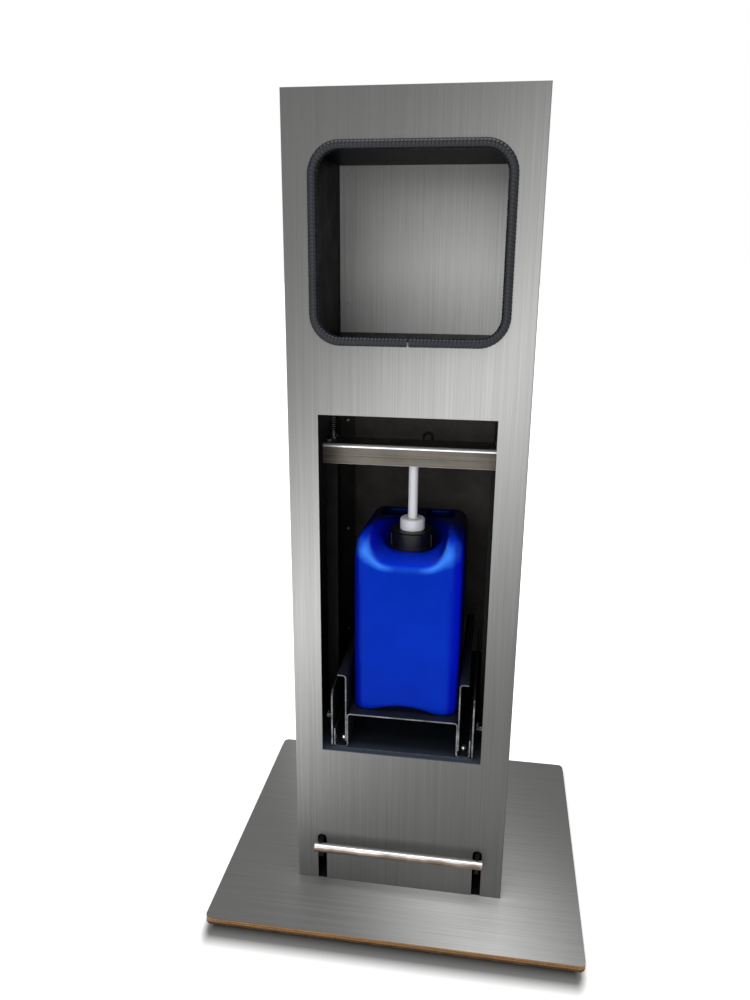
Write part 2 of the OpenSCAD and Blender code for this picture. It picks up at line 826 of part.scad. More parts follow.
// Jerrican; e sets each face in by a wall
module jerry_body(e) {
    x = jerry_w / 2 - jerry_top_r;
    front = jerry_y + jerry_top_r;
    rear = jerry_y + jerry_d - jerry_top_r;
    top = jerry_top - jerry_top_r;
    foot_in = jerry_foot_in + jerry_foot_r;
    hull() for (sx = [-1, 1]) {
        for (p = [[front, top - brow_h], [front + brow_d, top], [rear, top]])
            translate([sx * x, p[0], p[1]]) sphere(jerry_top_r - e, $fn = corner_fn);
        for (y = [jerry_y + foot_in, jerry_y + jerry_d - foot_in])
            translate([sx * (jerry_w / 2 - foot_in), y, tray_top + jerry_foot_r])
                sphere(jerry_foot_r - e, $fn = corner_fn);
    }
}

// Flared dish round the neck, widening into a saddle that is open to the front
module jerry_dish(e) {
    rim = dish_r + dish_flare;
    translate([0, pump_y, dish_floor - e])
        cylinder(r1 = dish_r + e, r2 = rim + e, h = dish_h + e + cut, $fn = corner_fn);
    hull() for (end = [[pump_y, rim], [jerry_y - cut, saddle_w / 2]])
        let (r = (end[1] * end[1] + dish_h * dish_h) / (2 * dish_h))
            translate([0, end[0], dish_floor + r]) rotate([90, 0, 0])
                cylinder(r = r + e, h = cut, $fn = 2 * corner_fn);
}

// Hand pocket under the handle
module jerry_grip(e) {
    translate([0, grip_y, jerry_top - grip_h - e]) linear_extrude(grip_h + e + cut)
        rounded_rect(grip_w + 2 * e, grip_l + 2 * e, grip_r + e);
}

// Shallow arch in the lower front edge
module jerry_arch(e) {
    translate([0, jerry_y + arch_d + e, tray_top + arch_h - arch_r]) rotate([90, 0, 0])
        cylinder(r = arch_r + e, h = 2 * arch_d + e);
}

module jerry_form(e) {
    difference() {
        jerry_body(e);
        jerry_dish(e);
        jerry_grip(e);
        jerry_arch(e);
    }
}

module jerrican() {
    color("mediumblue") difference() {
        union() {
            jerry_form(0);
            translate([0, pump_y, dish_floor - jerry_wall]) cylinder(d = neck_d, h = neck_h + jerry_wall);
            along_y(grip_y - grip_l / 2 - jerry_wall, grip_l + 2 * jerry_wall)
                translate([0, jerry_top - handle_h / 2]) rounded_rect(handle_w, handle_h, handle_h / 3);
        }
        jerry_form(jerry_wall);
        translate([0, pump_y, dish_floor - jerry_wall - cut])
            cylinder(d = neck_bore, h = neck_h + jerry_wall + 2 * cut);
    }
}

// Pump
module at_pump(z) {
    translate([0, pump_y, z]) children();
}

module screw_cap() {
    rim = cap_d / 2;
    core = rim - cap_rib_h;
    bore = neck_d / 2 + ease;
    throat = throat_d / 2 + ease;
    h = cap_top - cap_foot;
    seat = h - cap_top_t;
    color("black") at_pump(cap_foot) {
        rotate_extrude() polygon([
            [bore, 0], [rim, 0], [rim, cap_band], [core, cap_band], [core, h - cap_rib_h],
            [core - cap_rib_h, h], [throat, h], [throat, seat], [bore, seat]]);
        for (i = [0:cap_ribs - 1]) rotate(360 * (i + 0.5) / cap_ribs)
            translate([core - cut, -cap_rib_w / 2, cap_band - cut])
                cube([cap_rib_h + cut - cap_rib_set_in, cap_rib_w, seat - cap_band]);
    }
}

module pump_collar() {
    r = collar_d / 2;
    bore = stem_d / 2 + ease;
    seat = throat_d / 2 + ease;
    seat_h = throat_top - cap_top + ease;
    color("white") at_pump(cap_top) rotate_extrude() {
        difference() {
            union() {
                translate([bore, 0]) square([r - bore, collar_h - collar_round]);
                translate([bore, 0]) square([r - collar_round - bore, collar_h]);
                translate([r - collar_round, collar_h - collar_round]) circle(collar_round);
            }
            translate([bore - cut, -cut]) square([seat - bore + cut, seat_h + cut]);
        }
    }
}

module pump_barrel() {
    color("white") difference() {
        union() {
            at_pump(barrel_foot) cylinder(d = barrel_d, h = barrel_l);
            at_pump(neck_top) cylinder(d = flange_d, h = flange_t);
            at_pump(neck_top) cylinder(d = throat_d, h = throat_top - neck_top);
            at_pump(barrel_foot - spigot_l) cylinder(d = spigot_d, h = spigot_l);
        }
        at_pump(barrel_foot + barrel_floor_t) cylinder(d = barrel_bore, h = barrel_l - barrel_floor_t);
        at_pump(neck_top - cut) cylinder(d = stem_d + 2 * ease, h = throat_top - neck_top + 2 * cut);
        at_pump(barrel_foot - spigot_l - cut) cylinder(d = dip_d + 2 * fit, h = spigot_l + cut);
        at_pump(barrel_foot - cut) cylinder(d = ball_d / 2, h = barrel_floor_t + 2 * cut);
    }
}

module pump_stem() {
    color("white") at_pump(piston_top)
        tube(stem_d, stem_bore, head_foot + head_socket - piston_top);
}

module pump_piston() {
    color("white") at_pump(piston_top - piston_h) tube(piston_d, stem_bore, piston_h);
}

module pump_spring() {
    color("silver") at_pump(barrel_foot + barrel_floor_t + fit)
        skin_over(coil_tube(pump_route, pump_spring_wire));
}

module inlet_ball() {
    drop = sqrt(ball_d * ball_d / 4 - ball_d * ball_d / 16);
    color("silver") at_pump(barrel_foot + barrel_floor_t + drop + fit) sphere(d = ball_d);
}

module dip_tube() {
    foot = tray_top + jerry_wall + dip_clear;
    color("white") at_pump(foot) tube(dip_d, dip_d - 3, barrel_foot - foot - fit);
}

module pump_head() {
    color("white") difference() {
        union() {
            at_pump(head_foot) cylinder(d = head_d, h = head_h);
            translate([0, pump_y, barb_z]) rotate([0, 90, 0])
                cylinder(d = barb_d, h = head_d / 2 + barb_l);
        }
        at_pump(head_foot - cut) cylinder(d = stem_d + 2 * fit, h = head_socket + cut);
        at_pump(head_foot) cylinder(d = stem_bore, h = barb_z - head_foot);
        translate([0, pump_y, barb_z]) rotate([0, 90, 0])
            cylinder(d = barb_d / 2, h = head_d / 2 + barb_l + cut);
    }
}

// Presser
module presser() {
    y1 = presser_y + presser_t / 2;
    y2 = presser_y + presser_d - presser_t / 2;
    z = presser_top - presser_t / 2;
    foot = presser_top - presser_h;
    color("silver") difference() {
        along_x(-presser_l / 2, presser_l)
            sheet_profile([[y1, foot], [y1, z], [y2, z], [y2, foot]], presser_t, presser_bend);
        both_sides() translate([leg_x, leg_bolt_y, presser_under - cut])
            cylinder(d = leg_bolt_d + 2 * fit, h = presser_t + 2 * cut);
    }
}

// A flat leg with a tab folded forward under the presser
module leg() {
    z = presser_under - leg_t / 2;
    color("dimgray") difference() {
        along_x(leg_x - leg_w / 2, leg_w) sheet_profile(
            [[leg_y, clevis_top], [leg_y, z], [leg_y - leg_tab, z]], leg_t, leg_t / 2);
        translate([leg_x, leg_bolt_y, presser_under - leg_t - cut])
            cylinder(d = leg_bolt_d + 2 * fit, h = leg_t + 2 * cut);
    }
}

module left_leg() {
    mirror([1, 0, 0]) leg();
}

module right_leg() {
    leg();
}

module leg_bolts() {
    head_h = 0.6 * leg_bolt_d;
    grip = presser_t + leg_t;
    shank = grip + leg_bolt_d;
    color("silver") both_sides() translate([leg_x, leg_bolt_y, presser_top]) {
        cylinder(d = 1.8 * leg_bolt_d, h = head_h, $fn = 6);
        translate([0, 0, -shank]) cylinder(d = leg_bolt_d, h = shank);
    }
}

module leg_nuts() {
    h = 0.8 * leg_bolt_d;
    color("silver") both_sides() translate([leg_x, leg_bolt_y, presser_under - leg_t - h])
        difference() {
            cylinder(d = 1.8 * leg_bolt_d, h = h, $fn = 6);
            translate([0, 0, -cut]) cylinder(d = leg_bolt_d + 2 * fit, h = h + 2 * cut);
        }
}

// Outside of a leg's guide, grown by a clearance, down from the bay's floor
module guide_body(gap, depth) {
    w = leg_w + 2 * (ease + guide_wall + gap);
    d = leg_t + 2 * (ease + guide_wall + gap);
    translate([-w / 2, -d / 2, -depth]) cube([w, d, depth + cut]);
}

module leg_guides() {
    w = leg_w + 2 * (ease + guide_wall);
    d = leg_t + 2 * (ease + guide_wall + guide_lip);
    color("white") both_sides() translate([leg_x, leg_y, floor_top]) difference() {
        union() {
            guide_body(0, guide_depth);
            translate([-w / 2, -d / 2, 0]) cube([w, d, guide_lip_t]);
        }
        translate([-leg_w / 2 - ease, -leg_t / 2 - ease, -guide_depth - cut])
            cube([leg_w + 2 * ease, leg_t + 2 * ease, guide_depth + guide_lip_t + 2 * cut]);
    }
}

// A fork over the pedal's arm
module clevis() {
    top = clevis_top - clevis_t / 2;
    foot = pin_z - clevis_drop;
    x1 = leg_x - clevis_half;
    x2 = leg_x + clevis_half;
    color("dimgray") difference() {
        along_y(leg_y - clevis_l / 2, clevis_l)
            sheet_profile([[x1, foot], [x1, top], [x2, top], [x2, foot]], clevis_t, clevis_gap / 2);
        translate([x1 - clevis_t, leg_y, pin_z]) rotate([0, 90, 0])
            cylinder(d = pin_d + 2 * fit, h = 2 * clevis_half + 2 * clevis_t);
    }
}

module left_clevis() {
    mirror([1, 0, 0]) clevis();
}

module right_clevis() {
    clevis();
}

module clevis_pins() {
    half = clevis_half + clevis_t / 2 + fit;
    color("silver") both_sides() translate([leg_x, leg_y, pin_z]) rotate([0, 90, 0]) {
        translate([0, 0, -half]) cylinder(d = pin_d, h = 2 * half);
        translate([0, 0, -half - pin_head_t]) cylinder(d = pin_head_d, h = pin_head_t);
        translate([0, 0, half]) cylinder(d1 = pin_d + 2, d2 = pin_d, h = clevis_gap);
    }
}

// Return springs with plugs screwed into their ends
module spring_plugs() {
    color("silver") both_sides() translate([leg_x, spring_y, presser_top]) {
        cylinder(d = plug_d, h = plug_t);
        cylinder(d = plug_stub_d, h = plug_t + plug_stub_l);
    }
}

module spring_hangers() {
    rod_l = shelf_top - sheet_t - spring_head;
    color("silver") both_sides() translate([leg_x, spring_y, spring_head]) {
        translate([0, 0, -plug_stub_l]) cylinder(d = plug_stub_d, h = plug_stub_l + cut);
        cylinder(d = plug_d, h = plug_t);
        cylinder(d = hanger_d, h = rod_l);
        translate([0, 0, rod_l - plug_t]) cylinder(d = plug_d, h = plug_t);
    }
}

module return_spring() {
    color("silver") translate([leg_x, spring_y, spring_foot + fit])
        skin_over(coil_tube(return_route, spring_wire));
}

module left_return_spring() {
    translate([-2 * leg_x, 0, 0]) return_spring();
}

module right_return_spring() {
    return_spring();
}

// Pedal
module foot_bar() {
    half = leg_x + arm_t / 2 + bar_overhang;
    chamfer = 1;
    color("silver") on_pedal() translate([0, -arm_l, bar_lift]) rotate([0, 90, 0]) {
        translate([0, 0, chamfer - half]) cylinder(d = bar_d, h = 2 * half - 2 * chamfer);
        translate([0, 0, -half]) cylinder(d1 = bar_d - 2 * chamfer, d2 = bar_d, h = chamfer);
        translate([0, 0, half - chamfer]) cylinder(d1 = bar_d, d2 = bar_d - 2 * chamfer, h = chamfer);
    }
}

// A piece of the pedal, drawn level with its axle at the origin and its front towards -Y
module on_pedal() {
    translate([0, y_axle, z_axle]) rotate([-tilt, 0, 0]) children();
}

module arm() {
    nose = arm_h / 3;
    color("dimgray") on_pedal() difference() {
        union() {
            along_x(leg_x - arm_t / 2, arm_t) {
                polygon([[0, arm_h / 2], [-arm_l, arm_h / 2], [-arm_l, nose - arm_h / 2],
                    [nose - arm_l, -arm_h / 2], [0, -arm_h / 2]]);
                circle(d = arm_h);
            }
            translate([leg_x - hub_l / 2, 0, 0]) rotate([0, 90, 0]) cylinder(d = hub_d, h = hub_l);
        }
        translate([leg_x - hub_l / 2 - cut, 0, 0]) rotate([0, 90, 0])
            cylinder(d = bush_d + 2 * fit, h = hub_l + 2 * cut);
        translate([leg_x - arm_t, -arm_l, bar_lift]) rotate([0, 90, 0])
            cylinder(d = bar_d + 2 * fit, h = 2 * arm_t);
        translate([leg_x - arm_t, -pin_arm, 0]) rotate([0, 90, 0])
            cylinder(d = pin_d + 2 * pin_play, h = 2 * arm_t);
    }
}

module left_arm() {
    mirror([1, 0, 0]) arm();
}

module right_arm() {
    arm();
}

module on_axle(x) {
    translate([x, y_axle, z_axle]) rotate([0, 90, 0]) children();
}

module arm_bushes() {
    color("ivory") both_sides() on_axle(leg_x - hub_l / 2)
        tube(bush_d, axle_d + 2 * run_gap, hub_l);
}

module pivot_axle() {
    color("silver") on_axle(-axle_half) cylinder(d = axle_d, h = 2 * axle_half);
}

module pivot_brackets() {
    color("dimgray") difference() {
        both_sides() {
            along_x(bracket_x, angle_t) {
                translate([y_axle - bracket_w / 2, z0]) square([bracket_w, z_axle - z0]);
                translate([y_axle, z_axle]) circle(d = bracket_w);
            }
            translate([bracket_x - bracket_foot, y_axle - bracket_w / 2, z0])
                cube([bracket_foot + cut, bracket_w, angle_t]);
        }
        on_axle(-axle_half) cylinder(d = axle_d + 2 * fit, h = 2 * axle_half);
        base_screw_places() translate([0, 0, z0 - cut])
            cylinder(d = base_screw_d + 2 * fit, h = angle_t + 2 * cut);
    }
}

module axle_washers() {
    color("silver") both_sides() on_axle(leg_x + hub_l / 2 + ease)
        tube(2 * axle_d, axle_d + 2 * fit, washer_t);
}

module axle_nuts() {
    color("silver") both_sides() on_axle(leg_x + hub_l / 2 + ease + washer_t) difference() {
        cylinder(d = nut_af / cos(30), h = nut_t, $fn = 6);
        translate([0, 0, -cut]) cylinder(d = axle_d + 2 * fit, h = nut_t + 2 * cut);
    }
}

// Rubber blocks behind the front panel that the arms come up against
module arm_stops() {
    color("black") both_sides()
        translate([leg_x - stop_w / 2, y_front + sheet_t, stop_z]) cube([stop_w, stop_d, stop_h]);
}

// Delivery hose and nozzle
module hose_flex() {
    color("whitesmoke") skin_over(tube_rings(flex_route, hose_d / 2, 10, [0, 1, 0]));
}

module hose_riser() {
    color("whitesmoke") skin_over(tube_rings(riser_route, hose_d / 2, 10, [0, 1, 0]));
}

module hose_grommets() {
    h = sheet_t + 2 * fit;
    color("black") grommet_places() difference() {
        union() {
            cylinder(d = grommet_d - 2 * fit, h = h + 2 * grommet_lip_t, center = true);
            for (s = [-1, 1]) translate([0, 0, s * (h + grommet_lip_t) / 2])
                cylinder(d = grommet_d + 2 * grommet_lip, h = grommet_lip_t, center = true);
        }
        cylinder(d = hose_d + 2 * fit, h = h + 2 * grommet_lip_t + 2 * cut, center = true);
    }
}

module nozzle() {
    top = nozzle_barb_z + barb_d / 2 + 3;
    tip_d = 6;
    color("white") difference() {
        union() {
            translate([0, nozzle_y, ceiling_under - nozzle_flange_t])
                cylinder(d = 1.8 * nozzle_d, h = nozzle_flange_t);
            translate([0, nozzle_y, ceiling_under - nozzle_flange_t - nozzle_tip])
                cylinder(d1 = tip_d, d2 = nozzle_d, h = nozzle_tip);
            translate([0, nozzle_y, ceiling_under - cut])
                cylinder(d = nozzle_d, h = top - ceiling_under + cut);
            translate([0, nozzle_y, nozzle_barb_z]) rotate([0, 90, 0])
                cylinder(d = barb_d, h = nozzle_d / 2 + barb_l);
        }
        translate([0, nozzle_y, ceiling_under - nozzle_flange_t - nozzle_tip - cut])
            cylinder(d = tip_d / 2, h = nozzle_barb_z - ceiling_under + nozzle_flange_t + nozzle_tip + cut);
        translate([0, nozzle_y, nozzle_barb_z]) rotate([0, 90, 0])
            cylinder(d = barb_d / 2, h = nozzle_d / 2 + barb_l + cut);
    }
}

module nozzle_nut() {
    color("white") translate([0, nozzle_y, ceiling_under + sheet_t]) difference() {
        cylinder(d = 1.8 * nozzle_d, h = nozzle_nut_t, $fn = 6);
        translate([0, 0, -cut]) cylinder(d = nozzle_d + 2 * fit, h = nozzle_nut_t + 2 * cut);
    }
}

base_board();
base_skin();
base_angles();
base_screws();
front_panel();
left_side_panel();
right_side_panel();
rear_panel();
rear_screws();
rear_plug();
top_cap();
hand_shelf();
hand_ceiling();
hand_back();
bay_floor();
window_trim();
cradle_base();
tray_stand();
left_cheek();
right_cheek();
cradle_screws();
cradle_nuts();
jerrican();
screw_cap();
pump_collar();
pump_barrel();
pump_stem();
pump_piston();
pump_spring();
inlet_ball();
dip_tube();
pump_head();
presser();
left_leg();
right_leg();
leg_bolts();
leg_nuts();
leg_guides();
left_clevis();
right_clevis();
clevis_pins();
spring_plugs();
spring_hangers();
left_return_spring();
right_return_spring();
foot_bar();
left_arm();
right_arm();
arm_bushes();
pivot_axle();
pivot_brackets();
axle_washers();
axle_nuts();
arm_stops();
hose_flex();
hose_riser();
hose_grommets();
nozzle();
nozzle_nut();
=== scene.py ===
"""Looks of the foot-operated sanitizer stand: finishes, moulded pieces, springs, hose and studio."""
import math
from contextlib import contextmanager

import bpy
from mathutils import Matrix, Vector


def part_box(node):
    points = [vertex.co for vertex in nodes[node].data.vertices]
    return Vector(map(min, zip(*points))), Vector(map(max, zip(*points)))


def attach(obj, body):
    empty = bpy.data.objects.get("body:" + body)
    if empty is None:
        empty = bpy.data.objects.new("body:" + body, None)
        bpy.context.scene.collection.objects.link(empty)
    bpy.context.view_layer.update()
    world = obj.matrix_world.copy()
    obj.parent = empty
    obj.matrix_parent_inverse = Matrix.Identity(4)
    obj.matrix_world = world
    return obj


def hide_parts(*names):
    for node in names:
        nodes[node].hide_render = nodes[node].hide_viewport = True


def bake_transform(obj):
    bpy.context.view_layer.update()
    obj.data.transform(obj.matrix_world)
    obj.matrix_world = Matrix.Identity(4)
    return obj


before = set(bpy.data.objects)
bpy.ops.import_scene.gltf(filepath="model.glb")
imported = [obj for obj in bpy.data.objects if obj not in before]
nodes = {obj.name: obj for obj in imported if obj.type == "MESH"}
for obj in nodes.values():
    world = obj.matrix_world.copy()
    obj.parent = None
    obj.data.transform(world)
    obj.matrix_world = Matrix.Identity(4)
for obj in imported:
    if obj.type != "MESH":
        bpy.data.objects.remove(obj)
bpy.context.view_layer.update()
MM = 0.001

# Places on the stand that finishes and trim are measured from
front_low, front_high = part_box("front_panel")
FRONT_Y = front_low.y
COLUMN_HALF = front_high.x
REAR_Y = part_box("rear_panel")[1].y
SHELF_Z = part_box("hand_shelf")[1].z
CRADLE_PLATE_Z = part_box("tray_stand")[0].z
PRESSER_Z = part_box("presser")[0].z


# Selecting and modelling

def take(piece):
    """Selects one piece alone and makes it the active one."""
    bpy.ops.object.select_all(action="DESELECT")
    piece.select_set(True)
    bpy.context.view_layer.objects.active = piece


def settle(piece, name):
    """Names a piece and puts its place into its mesh."""
    take(piece)
    piece.name = name
    piece.data.name = name
    bpy.ops.object.transform_apply(location=True, rotation=True, scale=True)
    return piece


def shape(add, name, **values):
    """A plain mesh made by one of Blender's add tools, with its place in its mesh."""
    add(**values)
    return settle(bpy.context.object, name)


def every(item):
    """Chooses all of a mesh."""
    return True


@contextmanager
def editing(piece, chosen, kind="VERT"):
    """Edit mode with only the chosen vertices or edges selected."""
    take(piece)
    bpy.ops.object.mode_set(mode="EDIT")
    bpy.ops.mesh.select_mode(type=kind)
    bpy.ops.mesh.select_all(action="DESELECT")
    bpy.ops.object.mode_set(mode="OBJECT")
    for item in {"VERT": piece.data.vertices, "EDGE": piece.data.edges}[kind]:
        item.select = chosen(item)
    bpy.ops.object.mode_set(mode="EDIT")
    yield
    bpy.ops.object.mode_set(mode="OBJECT")


def modify(piece, kind, **values):
    """Adds a modifier and applies it at once."""
    take(piece)
    modifier = piece.modifiers.new(kind.lower(), kind)
    for key, value in values.items():
        setattr(modifier, key, value)
    bpy.ops.object.modifier_apply(modifier=modifier.name)


def smooth(piece, degrees):
    """Smooth shading, apart from edges sharper than an angle."""
    take(piece)
    bpy.ops.object.shade_smooth_by_angle(angle=math.radians(degrees))


def carve(piece, cutter, operation):
    """Takes a cutter away from a piece, or joins it on, and deletes it."""
    modify(piece, "BOOLEAN", object=cutter, operation=operation, solver="EXACT")
    take(cutter)
    bpy.ops.object.delete()


# Vertices nearer than this are welded, and edges sharper than this are rounded
WELD = 0.004 * MM
SHARP = math.radians(35)


def soften(name, width):
    """Rounds a CAD node's sharp edges so that they catch the light."""
    node = nodes[name]
    node.data.polygons.foreach_set("use_smooth", [True] * len(node.data.polygons))
    weld = node.modifiers.new("weld", "WELD")
    weld.merge_threshold = WELD
    edge = node.modifiers.new("edge", "BEVEL")
    edge.width = width
    edge.segments = 2
    edge.limit_method = "ANGLE"
    edge.angle_limit = SHARP
    flat = node.modifiers.new("flat", "WEIGHTED_NORMAL")
    flat.mode = "FACE_AREA"
    flat.weight = 100


# Materials

# The usual range of a noise
NOISE_LOW, NOISE_HIGH = 0.3, 0.7
# How alike the rounded and the true normal are where edge wear and painted edge highlight begin and are full
WEAR_AND_HIGHLIGHT_BEGINS, WEAR_AND_HIGHLIGHT_FULL = 0.97, 0.75
# Blue of a grey as a share of its red
GRAY_BLUE = 0.985


class Finish:
    """A material whose nodes are added one after another; colours are given as red, green and blue."""

    def __init__(self, name):
        self.material = bpy.data.materials.new(name)
        self.material.use_nodes = True
        self.tree = self.material.node_tree
        self.shader = self.tree.nodes["Principled BSDF"]
        self.place = self.tree.nodes.new("ShaderNodeTexCoord").outputs["Object"]

    def feed(self, socket, value):
        """Gives a socket a node's output, a colour or a plain value."""
        if isinstance(value, bpy.types.NodeSocket):
            self.tree.links.new(value, socket)
        elif socket.type == "RGBA":
            socket.default_value = (*value, 1)
        else:
            socket.default_value = value

    def set(self, **sockets):
        """Feeds the shader; the words of a socket's name are joined by low lines."""
        for name, value in sockets.items():
            self.feed(self.shader.inputs[name.replace("_", " ")], value)

    def add(self, kind, output, settings=None, **sockets):
        """Adds a node and gives one of its outputs; _6 stands for its socket number 6."""
        node = self.tree.nodes.new(kind)
        for key, value in (settings or {}).items():
            setattr(node, key, value)
        for key, value in sockets.items():
            self.feed(node.inputs[int(key[1:]) if key[0] == "_" else key], value)
        return node.outputs[output]

    def noise(self, scale, detail, rough=0.6, place=None):
        """Soft noise with a number of patches per metre."""
        return self.add("ShaderNodeTexNoise", "Fac", Vector=place or self.place, Scale=scale, Detail=detail,
                        Roughness=rough)

    def streaks(self, grain, along, across, detail, rough=0.6):
        """Noise drawn out on one axis, with patches per metre along it and across it."""
        scale = tuple(along if axis == grain else across for axis in "XYZ")
        drawn = self.add("ShaderNodeMapping", "Vector", Vector=self.place, Scale=scale)
        return self.noise(1.0, detail, rough, drawn)

    def ramp(self, factor, stops):
        """A colour that changes with a factor through stops of place and colour."""
        node = self.tree.nodes.new("ShaderNodeValToRGB")
        self.feed(node.inputs["Fac"], factor)
        elements = node.color_ramp.elements
        while len(elements) < len(stops):
            elements.new(0.5)
        for element, (position, color) in zip(elements, stops):
            element.position = position
            element.color = (*color, 1)
        return node.outputs["Color"]

    def span(self, value, low, high, start, end):
        """Turns low to high into start to end, and goes past neither."""
        limits = {"From Min": low, "From Max": high, "To Min": start, "To Max": end}
        return self.add("ShaderNodeMapRange", "Result", Value=value, **limits)

    def spread(self, noise, start, end):
        """Turns a noise's usual range into start to end."""
        return self.span(noise, NOISE_LOW, NOISE_HIGH, start, end)

    def math(self, operation, a, b=0.0):
        return self.add("ShaderNodeMath", "Value", {"operation": operation}, _0=a, _1=b)

    def times(self, product, *factors):
        for factor in factors:
            product = self.math("MULTIPLY", product, factor)
        return product

    def off(self, value, centre):
        """How far a value is from a centre, either way."""
        return self.math("ABSOLUTE", self.math("SUBTRACT", value, centre))

    def dot(self, a, b):
        return self.add("ShaderNodeVectorMath", "Value", {"operation": "DOT_PRODUCT"}, _0=a, _1=b)

    def mix(self, factor, a, b, blend="MIX"):
        """Lays colour b over colour a; the colours are the node's sockets 6 and 7, and its output 2."""
        return self.add("ShaderNodeMix", 2, {"data_type": "RGBA", "blend_type": blend}, _0=factor, _6=a, _7=b)

    def scaled(self, color, level):
        """A colour times a level."""
        even = self.add("ShaderNodeCombineXYZ", "Vector", X=level, Y=level, Z=level)
        return self.mix(1.0, color, even, "MULTIPLY")

    def bump(self, height, strength, distance):
        return self.add("ShaderNodeBump", "Normal", Height=height, Strength=strength, Distance=distance)

    def along(self, axis):
        """Place on an axis, in metres."""
        return self.add("ShaderNodeSeparateXYZ", axis, Vector=self.place)

    def across(self):
        """Distance from the middle of the stand to either side, in metres."""
        return self.math("ABSOLUTE", self.along("X"))

    def looking(self, axis):
        """How far a face looks along an axis: 1 straight along it, -1 straight against it."""
        normal = self.add("ShaderNodeNewGeometry", "Normal")
        return self.add("ShaderNodeSeparateXYZ", axis, Vector=normal)

    def facing(self, axis):
        """How far a face looks along an axis, either way."""
        return self.math("ABSOLUTE", self.looking(axis))

    def edges(self, radius):
        """1 where the surface turns within a radius, as at worn edges and edges with painted highlight."""
        rounded = self.add("ShaderNodeBevel", "Normal", {"samples": 4}, Radius=radius)
        true = self.add("ShaderNodeNewGeometry", "Normal")
        return self.span(self.dot(rounded, true), WEAR_AND_HIGHLIGHT_BEGINS, WEAR_AND_HIGHLIGHT_FULL, 0.0, 1.0)


def gray(value):
    """A faintly warm grey."""
    return (value, value, value * GRAY_BLUE)


# Direction, centre and reach of the painted sheen on the column and on the base, and how fast it fades
COLUMN_SHEEN = ((-1.23, 0, 1), 584 * MM, 246 * MM)
BASE_SHEEN = ((1, 0.4, 0), 20 * MM, 128 * MM)
SHEEN_FALL = 1.75
# Where the front panel's right edge turns dark, measured from the column's side, and over what width
EDGE_SHADE, EDGE_SHADE_WIDTH = 1.4 * MM, 1.2 * MM
# How far inside the column's faces the base skin is painted dark as shade
COVERED = 1.6 * MM
# How deep under a panel's outer face its brushing ends
OUTER_SKIN = 0.7 * MM
# Heights between which painted light makes the paint in the bay paler, and how much paler
PAINTED_LIGHT_FROM, PAINTED_LIGHT_TO = 580 * MM, 640 * MM
PAINTED_LIGHT_GAIN = 2.2
# Depths between which painted bluish light grows towards the front of the bay's floor
FLOOR_LIGHT_FROM, FLOOR_LIGHT_TO = -62 * MM, -100 * MM
# Painted highlight on the jerrican's shoulders: its depths, and half widths where it comes and goes
SHOULDER_Y = (-42 * MM, -58 * MM)
SHOULDER_INNER, SHOULDER_OUTER = (14 * MM, 34 * MM), (53 * MM, 62 * MM)
# Depths of painted light in the hollow before the neck, and depths and heights of painted shade on the top
# behind it
HOLLOW_Y = (-20 * MM, -45 * MM)
DARK_TOP_Y, DARK_TOP_Z = (-40 * MM, 20 * MM), (455 * MM, 475 * MM)


def grained(finish, grain, tone):
    """Brushing over a tone: hairlines, longer streaks and faint clouds along the grain."""
    hair = finish.streaks(grain, 5, 900, 3)
    fine = finish.spread(hair, 0.88, 1.10)
    broad = finish.spread(finish.streaks(grain, 4, 420, 2, 0.5), 0.93, 1.06)
    soft = finish.spread(finish.noise(5.0, 3, 0.5), 0.96, 1.04)
    return finish.scaled(tone, finish.times(fine, broad, soft)), hair


def painted_sheen_tone(finish, climb, centre, reach, plain, bright):
    """Tone of a painted diagonal sheen: climb gives its direction, centre and reach are in metres."""
    away = finish.off(finish.dot(finish.place, climb), centre)
    fall = finish.math("POWER", finish.math("DIVIDE", away, reach), SHEEN_FALL)
    share = finish.math("EXPONENT", finish.times(fall, -1.0))
    return finish.ramp(share, [(0.0, gray(plain)), (1.0, gray(bright))])


def brushed_sheet(name, grain, tone, bright=None, sheen=None, metal=0.3, rough=(0.42, 0.54), fade=None,
                  shaded_edge=None, covered=None):
    """Brushed stainless sheet with bright worn edges; bright is its tone in the painted sheen, fade its level
    at the floor and one metre up, painted shade darkening it upwards; shaded_edge is where painted shade
    darkens its right edge, and covered the half width and front of its part inside the column, painted dark
    as shade."""
    finish = Finish(name)
    ground = painted_sheen_tone(finish, *sheen, tone, bright) if sheen else gray(tone)
    if fade:
        ground = finish.scaled(ground, finish.span(finish.along("Z"), 0.0, 1.0, *fade))
    color, hair = grained(finish, grain, ground)
    if covered:
        half, front = covered
        between = finish.math("LESS_THAN", finish.across(), half)
        under = finish.times(between, finish.math("GREATER_THAN", finish.along("Y"), front))
        # Painted shade on the base skin inside the column
        color = finish.mix(under, color, gray(0.012))
    if shaded_edge:
        dark = finish.span(finish.along("X"), shaded_edge, shaded_edge + EDGE_SHADE_WIDTH, 0.0, 0.75)
        color = finish.mix(dark, color, gray(0.05))
    worn = finish.mix(finish.times(finish.edges(0.5 * MM), 0.25), color, (0.6, 0.6, 0.61))
    finish.set(Base_Color=worn, Metallic=metal, Roughness=finish.spread(hair, *rough), Anisotropic=0.3,
               Specular_IOR_Level=0.3, Normal=finish.bump(hair, 0.08, 0.03 * MM))
    return finish.material


